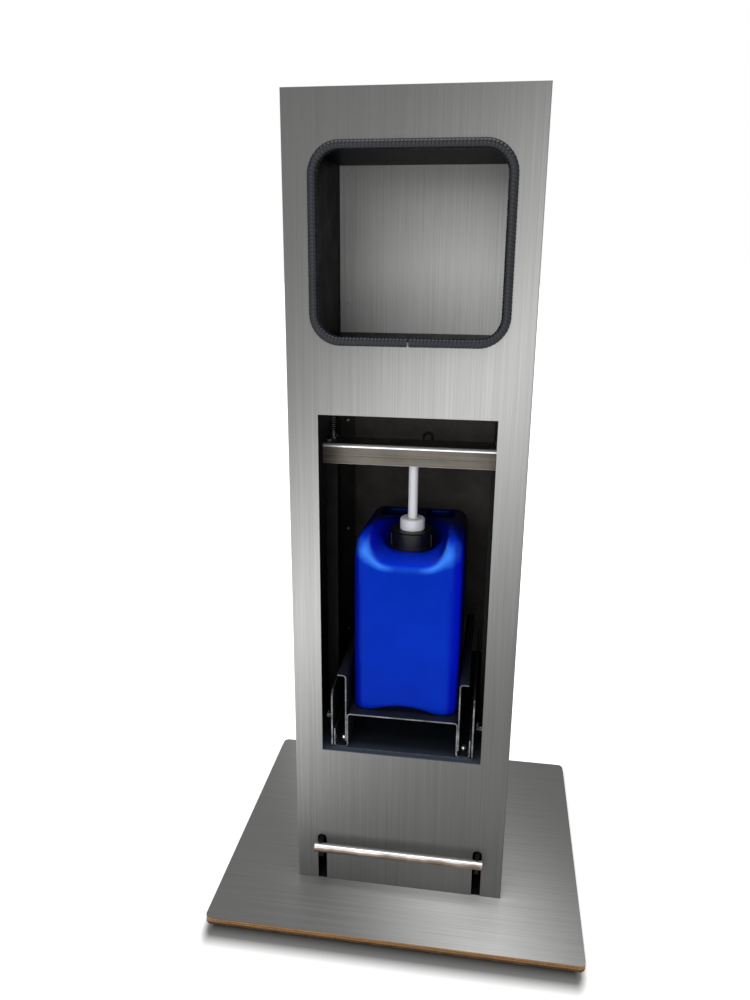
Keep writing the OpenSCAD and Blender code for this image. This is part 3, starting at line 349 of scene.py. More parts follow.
def faced_sheet(name, axis, outer, upper, lower):
    """Sheet that is brushed on its outer face and painted inside; axis and outer tell where the outer face
    begins, upper and lower are the paint beside the hands and in the bay, with painted light near its top."""
    finish = Finish(name)
    outside = finish.math("GREATER_THAN", finish.math("ABSOLUTE", finish.along(axis)), outer)
    color, hair = grained(finish, "Z", gray(0.30))
    dust = finish.noise(26, 5, 0.65)
    # Painted light near the top of the bay
    pale = tuple(c * PAINTED_LIGHT_GAIN for c in lower)
    bay = finish.mix(finish.span(finish.along("Z"), PAINTED_LIGHT_FROM, PAINTED_LIGHT_TO, 0.0, 1.0), lower, pale)
    paint = finish.mix(finish.math("GREATER_THAN", finish.along("Z"), SHELF_Z), bay, upper)
    dusty = finish.mix(finish.span(dust, 0.35, 0.75, 0.0, 0.5), paint, finish.scaled(paint, 2.0))
    rough = finish.mix(outside, finish.span(dust, 0.3, 0.75, 0.30, 0.48), finish.spread(hair, 0.42, 0.54))
    finish.set(Base_Color=finish.mix(outside, dusty, color), Metallic=finish.times(outside, 0.35),
               Specular_IOR_Level=0.03, Roughness=rough, Normal=finish.bump(hair, 0.05, 0.03 * MM))
    return finish.material


def drawn_steel(name, color, grain, rough):
    """Bright steel with faint draw marks along its length."""
    finish = Finish(name)
    marks = finish.streaks(grain, 12, 900, 4)
    dull = tuple(c * 0.72 for c in color)
    tint = finish.ramp(finish.noise(38, 3, 0.55), [(0.30, dull), (0.62, color)])
    tint = finish.mix(finish.span(marks, 0.35, 0.7, 0.0, 0.35), tint, dull)
    finish.set(Base_Color=tint, Metallic=1.0, Roughness=finish.spread(marks, *rough),
               Normal=finish.bump(marks, 0.08, 0.04 * MM))
    return finish.material


def pressed_channel():
    """Dull warm steel with a painted highlight on its bent edge and a dark line along its face."""
    finish = Finish("pressed_channel")
    dark_line_z = PRESSER_Z + 10 * MM
    marks = finish.streaks("X", 9, 700, 4)
    tint = finish.ramp(finish.noise(28, 4), [(0.30, (0.068, 0.060, 0.049)), (0.70, (0.106, 0.095, 0.078))])
    tint = finish.mix(finish.span(marks, 0.40, 0.66, 0.0, 0.4), tint, (0.16, 0.148, 0.128))
    line = finish.span(finish.off(finish.along("Z"), dark_line_z), 0.3 * MM, 0.9 * MM, 0.75, 0.0)
    broken = finish.span(finish.noise(40, 3), 0.35, 0.6, 0.25, 1.0)
    tint = finish.mix(finish.times(line, broken), tint, (0.045, 0.036, 0.03))
    # Painted highlight on the bent edge
    up = finish.facing("Z")
    bend = finish.times(finish.span(up, 0.06, 0.3, 0.0, 1.0), finish.span(up, 0.88, 0.98, 1.0, 0.0))
    tint = finish.mix(bend, tint, (0.94, 0.95, 0.97))
    finish.set(Base_Color=tint, Metallic=0.7, Roughness=finish.spread(marks, 0.30, 0.42),
               Normal=finish.bump(marks, 0.06, 0.04 * MM))
    return finish.material


def foot_bar_tones():
    """Bright round bar, lighter on its upper side and brown below."""
    finish = Finish("foot_bar_tones")
    marks = finish.streaks("X", 14, 800, 4)
    stain = finish.noise(35, 3, 0.5)
    ragged = finish.math("ADD", finish.looking("Z"), finish.spread(stain, -0.08, 0.08))
    below = finish.span(ragged, 0.72, 0.50, 0.0, 1.0)
    lower_brown = finish.ramp(stain, [(0.30, (0.10, 0.072, 0.055)), (0.70, (0.25, 0.20, 0.165))])
    upper_bright = finish.ramp(marks, [(0.35, (0.48, 0.48, 0.48)), (0.65, (0.62, 0.62, 0.62))])
    finish.set(Base_Color=finish.mix(below, upper_bright, lower_brown), Metallic=0.85,
               Roughness=finish.spread(marks, 0.24, 0.38), Normal=finish.bump(marks, 0.06, 0.04 * MM))
    return finish.material


def zinc_plate(name, level, metal=1.0):
    """Zinc plate with small crystals and brighter edges; level is how bright it is, below 1 as painted shade.
    """
    finish = Finish(name)
    spangle = finish.add("ShaderNodeTexVoronoi", "Distance", Vector=finish.place, Scale=420.0)
    tint = finish.ramp(finish.noise(150, 3), [(0.3, gray(0.50 * level)), (0.7, gray(0.77 * level))])
    worn = finish.mix(finish.edges(0.4 * MM), tint, gray(0.85 * level))
    finish.set(Base_Color=worn, Metallic=metal, Roughness=finish.span(spangle, 0.0, 0.6, 0.22, 0.40))
    return finish.material


def scraped_and_highlit_edges(finish):
    """Scraped metal and painted highlight on the cradle's sheared front and rear edges, above its base plate.
    """
    sheared = finish.span(finish.facing("Y"), 0.90, 0.98, 0.0, 1.0)
    above = finish.span(finish.along("Z"), CRADLE_PLATE_Z + 1.5 * MM, CRADLE_PLATE_Z + 3.5 * MM, 0.0, 1.0)
    uneven = finish.span(finish.noise(55, 5, 0.75), 0.38, 0.66, 0.12, 0.8)
    return finish.times(sheared, above, uneven)


def painted_floor_light(finish):
    """How strong the painted bluish light is on the front of the bay's floor."""
    forward = finish.span(finish.along("Y"), FLOOR_LIGHT_FROM, FLOOR_LIGHT_TO, 0.0, 0.8)
    low = finish.span(finish.along("Z"), CRADLE_PLATE_Z + 0.5 * MM, CRADLE_PLATE_Z - 0.5 * MM, 0.0, 1.0)
    return finish.times(forward, low)


def black_enamel(name, color, rough, gloss, cut_edges=False):
    """Black paint on steel: orange peel, dust, worn edges; cut edges get scraped metal and painted highlight.
    """
    finish = Finish(name)
    dust = finish.noise(90, 5, 0.7)
    tint = finish.ramp(dust, [(0.35, color), (0.75, tuple(c * 1.6 + 0.002 for c in color))])
    least, most = (0.25, 0.9) if cut_edges else (0.0, 0.5)
    bare_and_highlight = finish.times(finish.edges(0.7 * MM), finish.span(finish.noise(160, 3), 0.42, 0.62, least, most))
    if cut_edges:
        # Scraped metal and painted highlight on the sheared edges
        bare_and_highlight = finish.math("MAXIMUM", bare_and_highlight, scraped_and_highlit_edges(finish))
        # Painted bluish light on the front of the bay's floor
        tint = finish.mix(painted_floor_light(finish), tint, (0.050, 0.062, 0.092))
    finish.set(Base_Color=finish.mix(bare_and_highlight, tint, (0.34, 0.34, 0.35)), Metallic=finish.times(bare_and_highlight, 0.7),
               Roughness=finish.span(dust, 0.3, 0.75, rough * 0.92, rough * 1.12), Specular_IOR_Level=gloss,
               Normal=finish.bump(finish.noise(700, 3, 0.5), 0.05, 0.05 * MM))
    return finish.material


def plywood():
    """Cut edge of a plywood board: thin plies, darker glue lines, short fibres and painted shadow at its
    foot.
    """
    finish = Finish("plywood")
    ply = 1.8 * MM
    height = finish.math("DIVIDE", finish.along("Z"), ply)
    every_other = finish.math("MODULO", finish.math("FLOOR", height), 2.0)
    fibres = finish.streaks("Z", 1500, 60, 4, 0.7)
    face = finish.ramp(fibres, [(0.3, (0.30, 0.15, 0.05)), (0.7, (0.62, 0.34, 0.13))])
    end = finish.ramp(finish.noise(900, 2, 0.5), [(0.35, (0.14, 0.065, 0.024)), (0.65, (0.42, 0.22, 0.085))])
    wood = finish.mix(every_other, face, end)
    glue = finish.span(finish.off(finish.math("FRACT", height), 0.5), 0.40, 0.49, 0.0, 0.75)
    wood = finish.mix(glue, wood, (0.07, 0.03, 0.012))
    painted_foot_shadow = finish.times(finish.span(finish.along("Z"), 1.5 * MM, 5.5 * MM, 0.92, 0.0),
                        finish.span(finish.noise(45, 4), 0.3, 0.6, 0.75, 1.0))
    finish.set(Base_Color=finish.mix(painted_foot_shadow, wood, (0.022, 0.014, 0.009)), Roughness=0.78,
               Normal=finish.bump(fibres, 0.4, 0.2 * MM))
    return finish.material


def moulded(name, color, rough, gloss, wear_and_highlight):
    """Moulded plastic: faint flow clouds, fine grain, edges lightened by a level as wear and painted
    highlight.
    """
    finish = Finish(name)
    flow = finish.noise(16, 4)
    tint = finish.ramp(flow, [(0.30, tuple(c * 0.88 for c in color)), (0.70, color)])
    edge_wear_and_highlight = tuple(min(1.0, c * 1.5 + 0.05) for c in color)
    tint = finish.mix(finish.times(finish.edges(0.8 * MM), wear_and_highlight), tint, edge_wear_and_highlight)
    finish.set(Base_Color=tint, Roughness=finish.spread(flow, rough * 0.85, rough * 1.2),
               Specular_IOR_Level=gloss, Normal=finish.bump(finish.noise(900, 2, 0.5), 0.06, 0.05 * MM))
    return finish.material


def painted_shoulder_highlight(finish):
    """Painted highlight on the front slopes of the jerrican's shoulders, between the hollow and the corners.
    """
    up = finish.looking("Z")
    sloping = finish.times(finish.span(up, 0.12, 0.5, 0.0, 1.0), finish.span(up, 0.7, 0.95, 1.0, 0.2))
    forward = finish.times(finish.span(finish.looking("Y"), -0.1, -0.45, 0.0, 1.0),
                           finish.span(finish.along("Y"), *SHOULDER_Y, 0.0, 1.0))
    beside = finish.times(finish.span(finish.across(), *SHOULDER_INNER, 0.15, 1.0),
                          finish.span(finish.across(), *SHOULDER_OUTER, 1.0, 0.25))
    return finish.times(sloping, forward, beside)


def blown_plastic():
    """Blue blow-moulded polythene: uneven wall, light scratches, painted light and shade on corners and top.
    """
    finish = Finish("blue_polythene")
    wall = finish.noise(9, 4, 0.55)
    tint = finish.ramp(wall, [(0.28, (0.0004, 0.014, 0.36)), (0.72, (0.0008, 0.026, 0.50))])
    scratch = finish.span(finish.streaks("Z", 24, 300, 6, 0.75), 0.60, 0.74, 0.0, 0.12)
    tint = finish.mix(scratch, tint, (0.02, 0.09, 0.62))
    # Painted shade on the left corner, and painted shade and then painted light on the right one
    right = finish.looking("X")
    for start, end, corner in ((-0.2, -0.6, (0.0003, 0.006, 0.33)), (0.1, 0.35, (0.0003, 0.006, 0.46)),
                               (0.5, 0.9, (0.0004, 0.012, 1.0))):
        tint = finish.mix(finish.span(right, start, end, 0.0, 1.0), tint, corner)
    tint = finish.mix(painted_shoulder_highlight(finish), tint, (0.05, 0.25, 1.0))
    # Painted light in the hollow before the neck
    hollow = finish.times(finish.span(finish.looking("Z"), 0.5, 0.9, 0.0, 0.8),
                          finish.span(finish.along("Y"), *HOLLOW_Y, 0.0, 1.0))
    tint = finish.mix(hollow, tint, (0.001, 0.035, 0.85))
    # Painted shade on the top behind the neck
    painted_rear_shade = finish.times(finish.span(finish.along("Y"), *DARK_TOP_Y, 0.0, 0.97),
                            finish.span(finish.along("Z"), *DARK_TOP_Z, 0.0, 1.0))
    tint = finish.mix(painted_rear_shade, tint, (0.0001, 0.001, 0.03))
    skin = finish.noise(420, 3, 0.5)
    finish.set(Base_Color=tint, Roughness=finish.spread(wall, 0.36, 0.46), Specular_IOR_Level=0.35,
               Specular_Tint=(0.03, 0.25, 1.0), Normal=finish.bump(skin, 0.05, 0.12 * MM))
    return finish.material


def black_rubber():
    """Matt rubber with a pale bloom."""
    finish = Finish("black_rubber")
    bloom = finish.noise(45, 5, 0.65)
    tint = finish.ramp(bloom, [(0.35, (0.012, 0.012, 0.012)), (0.75, (0.0268, 0.0268, 0.0268))])
    finish.set(Base_Color=tint, Roughness=finish.spread(bloom, 0.527, 0.713),
               Normal=finish.bump(finish.noise(1300, 2, 0.5), 0.15, 0.06 * MM))
    return finish.material


def ribbed_trim():
    """Black split tube with a painted bluish sheen on its ribs."""
    finish = Finish("ribbed_trim")
    dust = finish.noise(60, 5, 0.65)
    tint = finish.ramp(dust, [(0.35, (0.003, 0.0042, 0.0065)), (0.75, (0.008, 0.011, 0.017))])
    painted_rib_sheen = finish.mix(finish.times(finish.edges(0.35 * MM), 0.35), tint, (0.04, 0.055, 0.08))
    finish.set(Base_Color=painted_rib_sheen, Roughness=finish.spread(dust, 0.30, 0.42), Specular_IOR_Level=0.28,
               Normal=finish.bump(finish.noise(1500, 2), 0.08, 0.04 * MM))
    return finish.material


def milky_tube():
    """Milky hose plastic that lets a little light in."""
    finish = Finish("milky_tube")
    cloud = finish.noise(30, 3)
    tint = finish.ramp(cloud, [(0.3, (0.62, 0.65, 0.66)), (0.7, (0.80, 0.82, 0.82))])
    finish.set(Base_Color=tint, Roughness=finish.spread(cloud, 0.22, 0.34), Subsurface_Weight=0.2,
               Subsurface_Radius=(2 * MM, 2 * MM, 2 * MM))
    return finish.material


# Front panel: painted sheen, painted shade that darkens it upwards, and painted shade on its right edge
front_steel = brushed_sheet("front_brushed", "Z", 0.095, 0.46, COLUMN_SHEEN, fade=(1.14, 0.80),
                            shaded_edge=COLUMN_HALF - EDGE_SHADE)
# Hand back: painted sheen, and a tone near white that is painted light for the dim hand space
back_steel = brushed_sheet("hand_back_brushed", "Z", 0.90, 1.0, COLUMN_SHEEN, metal=0.12, rough=(0.46, 0.56))
# Base skin: painted sheen, and painted shade where it lies inside the column
base_steel = brushed_sheet("base_brushed", "X", 0.13, 0.72, BASE_SHEEN,
                           covered=(COLUMN_HALF - COVERED, FRONT_Y + COVERED))
top_steel = brushed_sheet("top_brushed", "X", 0.30)
side_sheet = faced_sheet("side_sheet", "X", COLUMN_HALF - OUTER_SKIN, (0.0025, 0.0025, 0.003),
                         (0.040, 0.037, 0.034))
rear_sheet = faced_sheet("rear_sheet", "Y", REAR_Y - OUTER_SKIN, (0.004, 0.004, 0.004), (0.085, 0.078, 0.074))
gloss_black = black_enamel("gloss_black", (0.007, 0.007, 0.0075), rough=0.38, gloss=0.015)
satin_black = black_enamel("satin_black", (0.004, 0.004, 0.0045), rough=0.42, gloss=0.1)
cut_black = black_enamel("cut_black", (0.007, 0.009, 0.013), rough=0.32, gloss=0.4, cut_edges=True)
bright_steel = drawn_steel("bright_steel", (0.74, 0.74, 0.74), "X", rough=(0.18, 0.34))
channel_steel = pressed_channel()
bar_steel = foot_bar_tones()
spring_steel = drawn_steel("spring_steel", (0.10, 0.10, 0.105), "Z", rough=(0.36, 0.48))
zinc = zinc_plate("zinc_plate", 1.0)
# Zinc darkened as painted shade, for pieces down in the bay
shaded_zinc = zinc_plate("shaded_zinc", 0.18)
pale_zinc = zinc_plate("pale_zinc", 1.2, metal=0.25)
board_wood = plywood()
# The black cap's edges are lightened mostly as painted highlight
black_cap = moulded("black_cap", (0.005, 0.005, 0.0055), rough=0.36, gloss=0.25, wear_and_highlight=0.8)
white_pump = moulded("white_pump", (0.94, 0.95, 0.97), rough=0.34, gloss=0.5, wear_and_highlight=0.1)
blue_can = blown_plastic()
soft_rubber = black_rubber()
trim_black = ribbed_trim()
hose_white = milky_tube()

# Finish of each piece and how far its edges are rounded, in millimetres
FINISHES = {
    "base_board": (board_wood, 0.4), "base_skin": (base_steel, 0.25), "base_angles": (satin_black, 0.4),
    "base_screws": (zinc, 0.2), "front_panel": (front_steel, 0.3), "left_side_panel": (side_sheet, 0.3),
    "right_side_panel": (side_sheet, 0.3), "rear_panel": (rear_sheet, 0), "rear_screws": (pale_zinc, 0.2),
    "rear_plug": (soft_rubber, 0.3), "top_cap": (top_steel, 0.3), "hand_shelf": (gloss_black, 0.3),
    "hand_ceiling": (gloss_black, 0.3), "hand_back": (back_steel, 0), "bay_floor": (cut_black, 0.3),
    "cradle_base": (cut_black, 0.3), "tray_stand": (cut_black, 0.3), "left_cheek": (cut_black, 0.3),
    "right_cheek": (cut_black, 0.3), "cradle_screws": (zinc, 0.3), "cradle_nuts": (zinc, 0.3),
    "screw_cap": (black_cap, 0.6), "pump_collar": (white_pump, 0.5), "pump_barrel": (white_pump, 0.4),
    "pump_stem": (white_pump, 0.4), "pump_piston": (white_pump, 0.3), "inlet_ball": (bright_steel, 0),
    "dip_tube": (white_pump, 0.3), "pump_head": (white_pump, 0.6), "presser": (channel_steel, 0.3),
    "left_leg": (satin_black, 0.4), "right_leg": (satin_black, 0.4), "leg_bolts": (shaded_zinc, 0.3),
    "leg_nuts": (shaded_zinc, 0.3), "leg_guides": (white_pump, 0.4), "left_clevis": (satin_black, 0.4),
    "right_clevis": (satin_black, 0.4), "clevis_pins": (zinc, 0.4), "spring_plugs": (shaded_zinc, 0.4),
    "spring_hangers": (shaded_zinc, 0.4), "foot_bar": (bar_steel, 0.4), "left_arm": (satin_black, 0.5),
    "right_arm": (satin_black, 0.5), "arm_bushes": (white_pump, 0.2), "pivot_axle": (bright_steel, 0.4),
    "pivot_brackets": (satin_black, 0.4), "axle_washers": (zinc, 0.2), "axle_nuts": (zinc, 0.4),
    "arm_stops": (soft_rubber, 0.6), "hose_grommets": (soft_rubber, 0.4), "nozzle": (white_pump, 0.3),
    "nozzle_nut": (white_pump, 0.3),
}


def dress(piece, material):
    """Gives a piece one material alone."""
    piece.data.materials.clear()
    piece.data.materials.append(material)


for name, (material, edge) in FINISHES.items():
    dress(nodes[name], material)
    if edge:
        soften(name, edge * MM)


def stand_for(piece, name, body, material):
    """A finished piece takes a CAD node's place, on a body unless it lies between two, when it stays
    unattached.
    """
    dress(piece, material)
    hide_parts(name)
    if body:
        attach(piece, body)


# Ribbed tube round the window

WINDOW_W, WINDOW_H, WINDOW_R = 214 * MM, 204 * MM, 30 * MM
WINDOW_Z = 854 * MM
SHEET = 1.5 * MM
TRIM_R = 4.25 * MM
TRIM_WALL = 1.2 * MM
TRIM_SIDES = 20
# Share of the radius past which the tube is open, to grip the sheet
TRIM_SLIT = 0.90
# Gap between the tube's ends, number of ribs and their height
TRIM_SEAM = 2.5 * MM
TRIM_RIBS = 190
TRIM_RIB = 0.5 * MM
# Length of a Bezier handle that makes a quarter circle, as a share of its radius
ARC_HANDLE = 0.5523


def window_path():
    """The window's edge as a flat curve from the middle of its foot round to the same place."""
    a, b, r = WINDOW_W / 2, WINDOW_H / 2, WINDOW_R
    handle = r * ARC_HANDLE
    stops = [((0, -b), (1, 0)), ((a - r, -b), (1, 0)), ((a, r - b), (0, 1)), ((a, b - r), (0, 1)),
             ((a - r, b), (-1, 0)), ((r - a, b), (-1, 0)), ((-a, b - r), (0, -1)), ((-a, r - b), (0, -1)),
             ((r - a, -b), (1, 0)), ((0, -b), (1, 0))]
    curve = bpy.data.curves.new("window_path", "CURVE")
    curve.dimensions = "2D"
    curve.resolution_u = 32
    spline = curve.splines.new("BEZIER")
    spline.bezier_points.add(len(stops) - 1)
    for point, (place, way) in zip(spline.bezier_points, stops):
        point.co = (*place, 0)
        point.handle_left_type = point.handle_right_type = "FREE"
        point.handle_left = (place[0] - way[0] * handle, place[1] - way[1] * handle, 0)
        point.handle_right = (place[0] + way[0] * handle, place[1] + way[1] * handle, 0)
    path = bpy.data.objects.new("window_path", curve)
    bpy.context.collection.objects.link(path)
    return path


def ribbed_tube():
    """A straight open tube along X with all its ribs, as long as the window's edge less the seam."""
    edge = 2 * (WINDOW_W + WINDOW_H) - 8 * WINDOW_R + 2 * math.pi * WINDOW_R
    pitch = (edge - TRIM_SEAM) / TRIM_RIBS
    valley = TRIM_R - TRIM_RIB
    tube = shape(bpy.ops.mesh.primitive_circle_add, "window_trim_ribbed", vertices=TRIM_SIDES, radius=valley,
                 fill_type="NOTHING", location=(TRIM_SEAM / 2, 0, 0), rotation=(0, math.pi / 2, 0))
    with editing(tube, lambda v: v.co.y < -TRIM_SLIT * TRIM_R):
        bpy.ops.mesh.delete(type="VERT")
    # Each rib's rise, top, fall and gap: its share of the pitch and how far the tube widens over it
    rib = [(0.25, TRIM_R / valley), (0.40, 1.0), (0.25, valley / TRIM_R), (0.10, 1.0)]
    with editing(tube, every):
        for share, grow in rib:
            bpy.ops.mesh.extrude_region_move(TRANSFORM_OT_translate={"value": (share * pitch, 0, 0)})
            bpy.ops.transform.resize(value=(1, grow, grow), center_override=(0, 0, 0))
    modify(tube, "ARRAY", count=TRIM_RIBS, use_relative_offset=False, use_constant_offset=True,
           constant_offset_displace=(pitch, 0, 0), use_merge_vertices=True, merge_threshold=0.01 * MM)
    modify(tube, "SOLIDIFY", thickness=TRIM_WALL, offset=-1.0)
    return tube


def make_trim():
    """The ribbed tube, bent round the window's edge."""
    tube = ribbed_tube()
    path = window_path()
    modify(tube, "CURVE", object=path, deform_axis="POS_X")
    take(path)
    bpy.ops.object.delete()
    tube.rotation_euler = (math.pi / 2, 0, 0)
    tube.location = (0, FRONT_Y + SHEET / 2, WINDOW_Z)
    settle(tube, "window_trim_ribbed")
    with editing(tube, every):
        bpy.ops.mesh.normals_make_consistent(inside=False)
    smooth(tube, 50)
    stand_for(tube, "window_trim", "stand", trim_black)


# Springs and hose

COIL_STEPS = 28
RETURN_TURNS, RETURN_WIRE = 16, 1.4 * MM
PUMP_TURNS, PUMP_WIRE = 6, 1.0 * MM
HOSE_R = 3 * MM
# Route of the hose in millimetres, as it is laid in the frame
FLEX_ROUTE = [(30, -18, 605.2), (36, -18, 605.2), (52, -17.5, 605.2), (75, -14.5, 605.2), (95, -13, 605.2),
              (106, -13, 605.7), (114, -13.5, 607.7), (121, -15, 612.2), (126, -19, 620.2), (128, -26, 632),
              (128, -40, 652), (128, -58, 676), (128, -73, 698), (128, -82, 716), (128, -85, 728),
              (128, -85, 734.25)]
RISER_ROUTE = [(128, -85, 734.25), (128, -85, 800), (128, -85, 885), (128, -85, 974), (126.5, -83.5, 984),
               (122.5, -80, 992.5), (116, -74, 998), (108.5, -67.5, 1000), (90, -51, 1000), (72, -35, 1000),
               (58, -23.5, 1000), (47, -16.5, 1000), (38, -13.5, 1000), (30, -13, 1000), (24, -13, 1000)]


def tube_along(name, points, radius, sides, round_off):
    """A round tube through points, smoothed between them where round_off is set."""
    curve = bpy.data.curves.new(name, "CURVE")
    curve.dimensions = "3D"
    curve.bevel_depth = radius
    curve.bevel_resolution = sides
    curve.use_fill_caps = True
    curve.resolution_u = 8
    if round_off:
        spline = curve.splines.new("BEZIER")
        spline.bezier_points.add(len(points) - 1)
        for point, place in zip(spline.bezier_points, points):
            point.co = place
            point.handle_left_type = point.handle_right_type = "AUTO"
    else:
        spline = curve.splines.new("POLY")
        spline.points.add(len(points) - 1)
        for point, place in zip(spline.points, points):
            point.co = (*place, 1)
    piece = bpy.data.objects.new(name, curve)
    bpy.context.collection.objects.link(piece)
    take(piece)
    bpy.ops.object.convert(target="MESH")
    piece = bpy.context.object
    smooth(piece, 60)
    return piece


def coil(name, node, turns, wire):
    """A coil spring in a node's place, stretched between the bodies that hold its ends."""
    low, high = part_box(node)
    centre = (low + high) / 2
    radius = (high.x - low.x) / 2 - wire / 2
    count = turns * COIL_STEPS
    ease = COIL_STEPS // 2
    foot, head = low.z, high.z
    points = [(centre.x + radius, centre.y, foot)]
    for i in range(count + 1):
        if i < ease:
            turn = i * i / (2 * ease)
        elif i > count - ease:
            turn = count - ease - (count - i) ** 2 / (2 * ease)
        else:
            turn = i - ease / 2
        angle = 2 * math.pi * turn / COIL_STEPS
        height = foot + wire + (head - foot - 2 * wire) * i / count
        points.append((centre.x + radius * math.cos(angle), centre.y + radius * math.sin(angle), height))
    points.append((points[-1][0], points[-1][1], head))
    piece = tube_along(name, points, wire / 2, sides=3, round_off=False)
    stand_for(piece, node, None, spring_steel)
    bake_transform(piece)


def make_springs():
    for side in ("left", "right"):
        coil(f"{side}_return_coil", f"{side}_return_spring", RETURN_TURNS, RETURN_WIRE)
    coil("pump_coil", "pump_spring", PUMP_TURNS, PUMP_WIRE)


def hose_along(name, route):
    return tube_along(name, [Vector(place) * MM for place in route], HOSE_R, sides=5, round_off=True)


def make_hose():
    flex = hose_along("hose_flex_bend", FLEX_ROUTE)
    stand_for(flex, "hose_flex", None, hose_white)
    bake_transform(flex)
    riser = hose_along("hose_riser_run", RISER_ROUTE)
    stand_for(riser, "hose_riser", "stand", hose_white)


# Blow-moulded jerrican

# Extra width on the right, slope over the front, rounding of edges, and rise and depth of the shoulders
CAN_WIDER = 3 * MM
BROW = 22 * MM
CAN_EDGE = 17 * MM
SHOULDER_RISE, SHOULDER_DEPTH = 12 * MM, 60 * MM
# Round dish in the top, and the neck that stands in it
DISH_DEPTH, DISH_TALL = 22 * MM, 60 * MM
DISH_FLOOR_R, DISH_TOP_R = 36 * MM, 52 * MM
NECK_R, NECK_TALL, NECK_MIDDLE = 25 * MM, 22 * MM, 7 * MM
# Hollow in front of the dish: its half width, floor over the dish's, rounding, upward flare and slope
SADDLE_HALF, SADDLE_LIFT, SADDLE_EDGE = 48 * MM, 7 * MM, 26 * MM
SADDLE_FLARE, SADDLE_SLOPE = 1.25, 12 * MM
# How far the hollow's cutter reaches before the can, behind the neck and above the can
SADDLE_BEFORE, SADDLE_BEHIND, SADDLE_ABOVE = 40 * MM, 20 * MM, 60 * MM
# Hand pocket: how far behind the neck it begins, wall behind it, half width, depth and rounding
GRIP_BEHIND, GRIP_WALL = 47 * MM, 12 * MM
GRIP_HALF, GRIP_DEPTH, GRIP_EDGE = 50 * MM, 34 * MM, 11 * MM
GRIP_ABOVE = 30 * MM
# Handle over the pocket: half width, lap on the can, depths of its underside and top, and rounding
HANDLE_HALF, HANDLE_LAP, HANDLE_EDGE = 13 * MM, 4 * MM, 5 * MM
HANDLE_UNDER, HANDLE_TOP = 14.5 * MM, 0.3 * MM
# Arch under the front edge: radius, rise, and how deep its cutter is and how far forward it sits
ARCH_R, ARCH_RISE = 107 * MM, 8 * MM
ARCH_DEEP, ARCH_FORWARD = 40 * MM, 5 * MM
# Size of the skin's net, and the part of it that is smoothed most, where the hollow meets the front
SKIN_NET = 1.8 * MM
LIP_HALF, LIP_Y, LIP_Z = 58 * MM, -45 * MM, 445 * MM


def rounded_block(name, low, high, radius, steps=6):
    """A box with all its edges rounded."""
    block = shape(bpy.ops.mesh.primitive_cube_add, name, size=1, location=(Vector(low) + Vector(high)) / 2,
                  scale=Vector(high) - Vector(low))
    with editing(block, every, "EDGE"):
        bpy.ops.mesh.bevel(offset=radius, segments=steps, profile=0.5, affect="EDGES")
    return block


def can_body(low, high):
    """Body with a sloping brow over its front, rounded edges and raised front shoulders."""
    far = high + Vector((CAN_WIDER, 0, 0))
    can = shape(bpy.ops.mesh.primitive_cube_add, "jerrican_blown", size=1, location=(low + far) / 2,
                scale=far - low)

    def ends(edge):
        return [can.data.vertices[i].co for i in edge.vertices]

    def in_brow(edge):
        return all(v.z > high.z - MM and v.y < low.y + MM for v in ends(edge))

    def over_foot(edge):
        return any(v.z >= low.z + MM for v in ends(edge))

    with editing(can, in_brow, "EDGE"):
        bpy.ops.mesh.bevel(offset=BROW, segments=1, affect="EDGES")
    with editing(can, over_foot, "EDGE"):
        bpy.ops.mesh.bevel(offset=CAN_EDGE, segments=6, profile=0.5, affect="EDGES")
    with editing(can, lambda v: v.co.z > high.z - SHOULDER_DEPTH and v.co.y < 0):
        bpy.ops.transform.translate(value=(0, 0, SHOULDER_RISE))
    return can


def cut_hollow(can, low, top, neck_y):
    """Dish round the neck, and the hollow that opens upwards and slopes down in front of it."""
    dish_floor = top - DISH_DEPTH
    dish = shape(bpy.ops.mesh.primitive_cone_add, "dish", vertices=96, radius1=DISH_FLOOR_R,
                 radius2=DISH_TOP_R, depth=DISH_TALL, location=(0, neck_y, dish_floor + DISH_TALL / 2))
    carve(can, dish, "DIFFERENCE")
    saddle = rounded_block("saddle", (-SADDLE_HALF, low.y - SADDLE_BEFORE, dish_floor + SADDLE_LIFT),
                           (SADDLE_HALF, neck_y + SADDLE_BEHIND, top + SADDLE_ABOVE), SADDLE_EDGE, steps=10)
    with editing(saddle, lambda v: v.co.z > top + SADDLE_ABOVE / 3):
        bpy.ops.transform.resize(value=(SADDLE_FLARE, 1, 1), center_override=(0, 0, 0))
    with editing(saddle, lambda v: v.co.y < low.y - SADDLE_BEFORE / 4):
        bpy.ops.transform.translate(value=(0, 0, -SADDLE_SLOPE))
    carve(can, saddle, "DIFFERENCE")


def cut_grip(can, top, front, back):
    """Hand pocket between two depths, with the handle over it."""
    grip = rounded_block("grip", (-GRIP_HALF, front, top - GRIP_DEPTH), (GRIP_HALF, back, top + GRIP_ABOVE),
                         GRIP_EDGE)
    carve(can, grip, "DIFFERENCE")
    handle = rounded_block("handle", (-HANDLE_HALF, front - HANDLE_LAP, top - HANDLE_UNDER),
                           (HANDLE_HALF, back + HANDLE_LAP, top - HANDLE_TOP), HANDLE_EDGE)
    carve(can, handle, "UNION")


def cut_arch(can, low):
    """Flat arch under the front edge."""
    arch = shape(bpy.ops.mesh.primitive_cylinder_add, "arch", vertices=128, radius=ARCH_R, depth=ARCH_DEEP,
                 rotation=(math.pi / 2, 0, 0), location=(0, low.y - ARCH_FORWARD, low.z + ARCH_RISE - ARCH_R))
    carve(can, arch, "DIFFERENCE")


def add_neck(can, top, neck_y):
    neck = shape(bpy.ops.mesh.primitive_cylinder_add, "neck", vertices=64, radius=NECK_R, depth=NECK_TALL,
                 location=(0, neck_y, top - DISH_DEPTH + NECK_MIDDLE))
    carve(can, neck, "UNION")


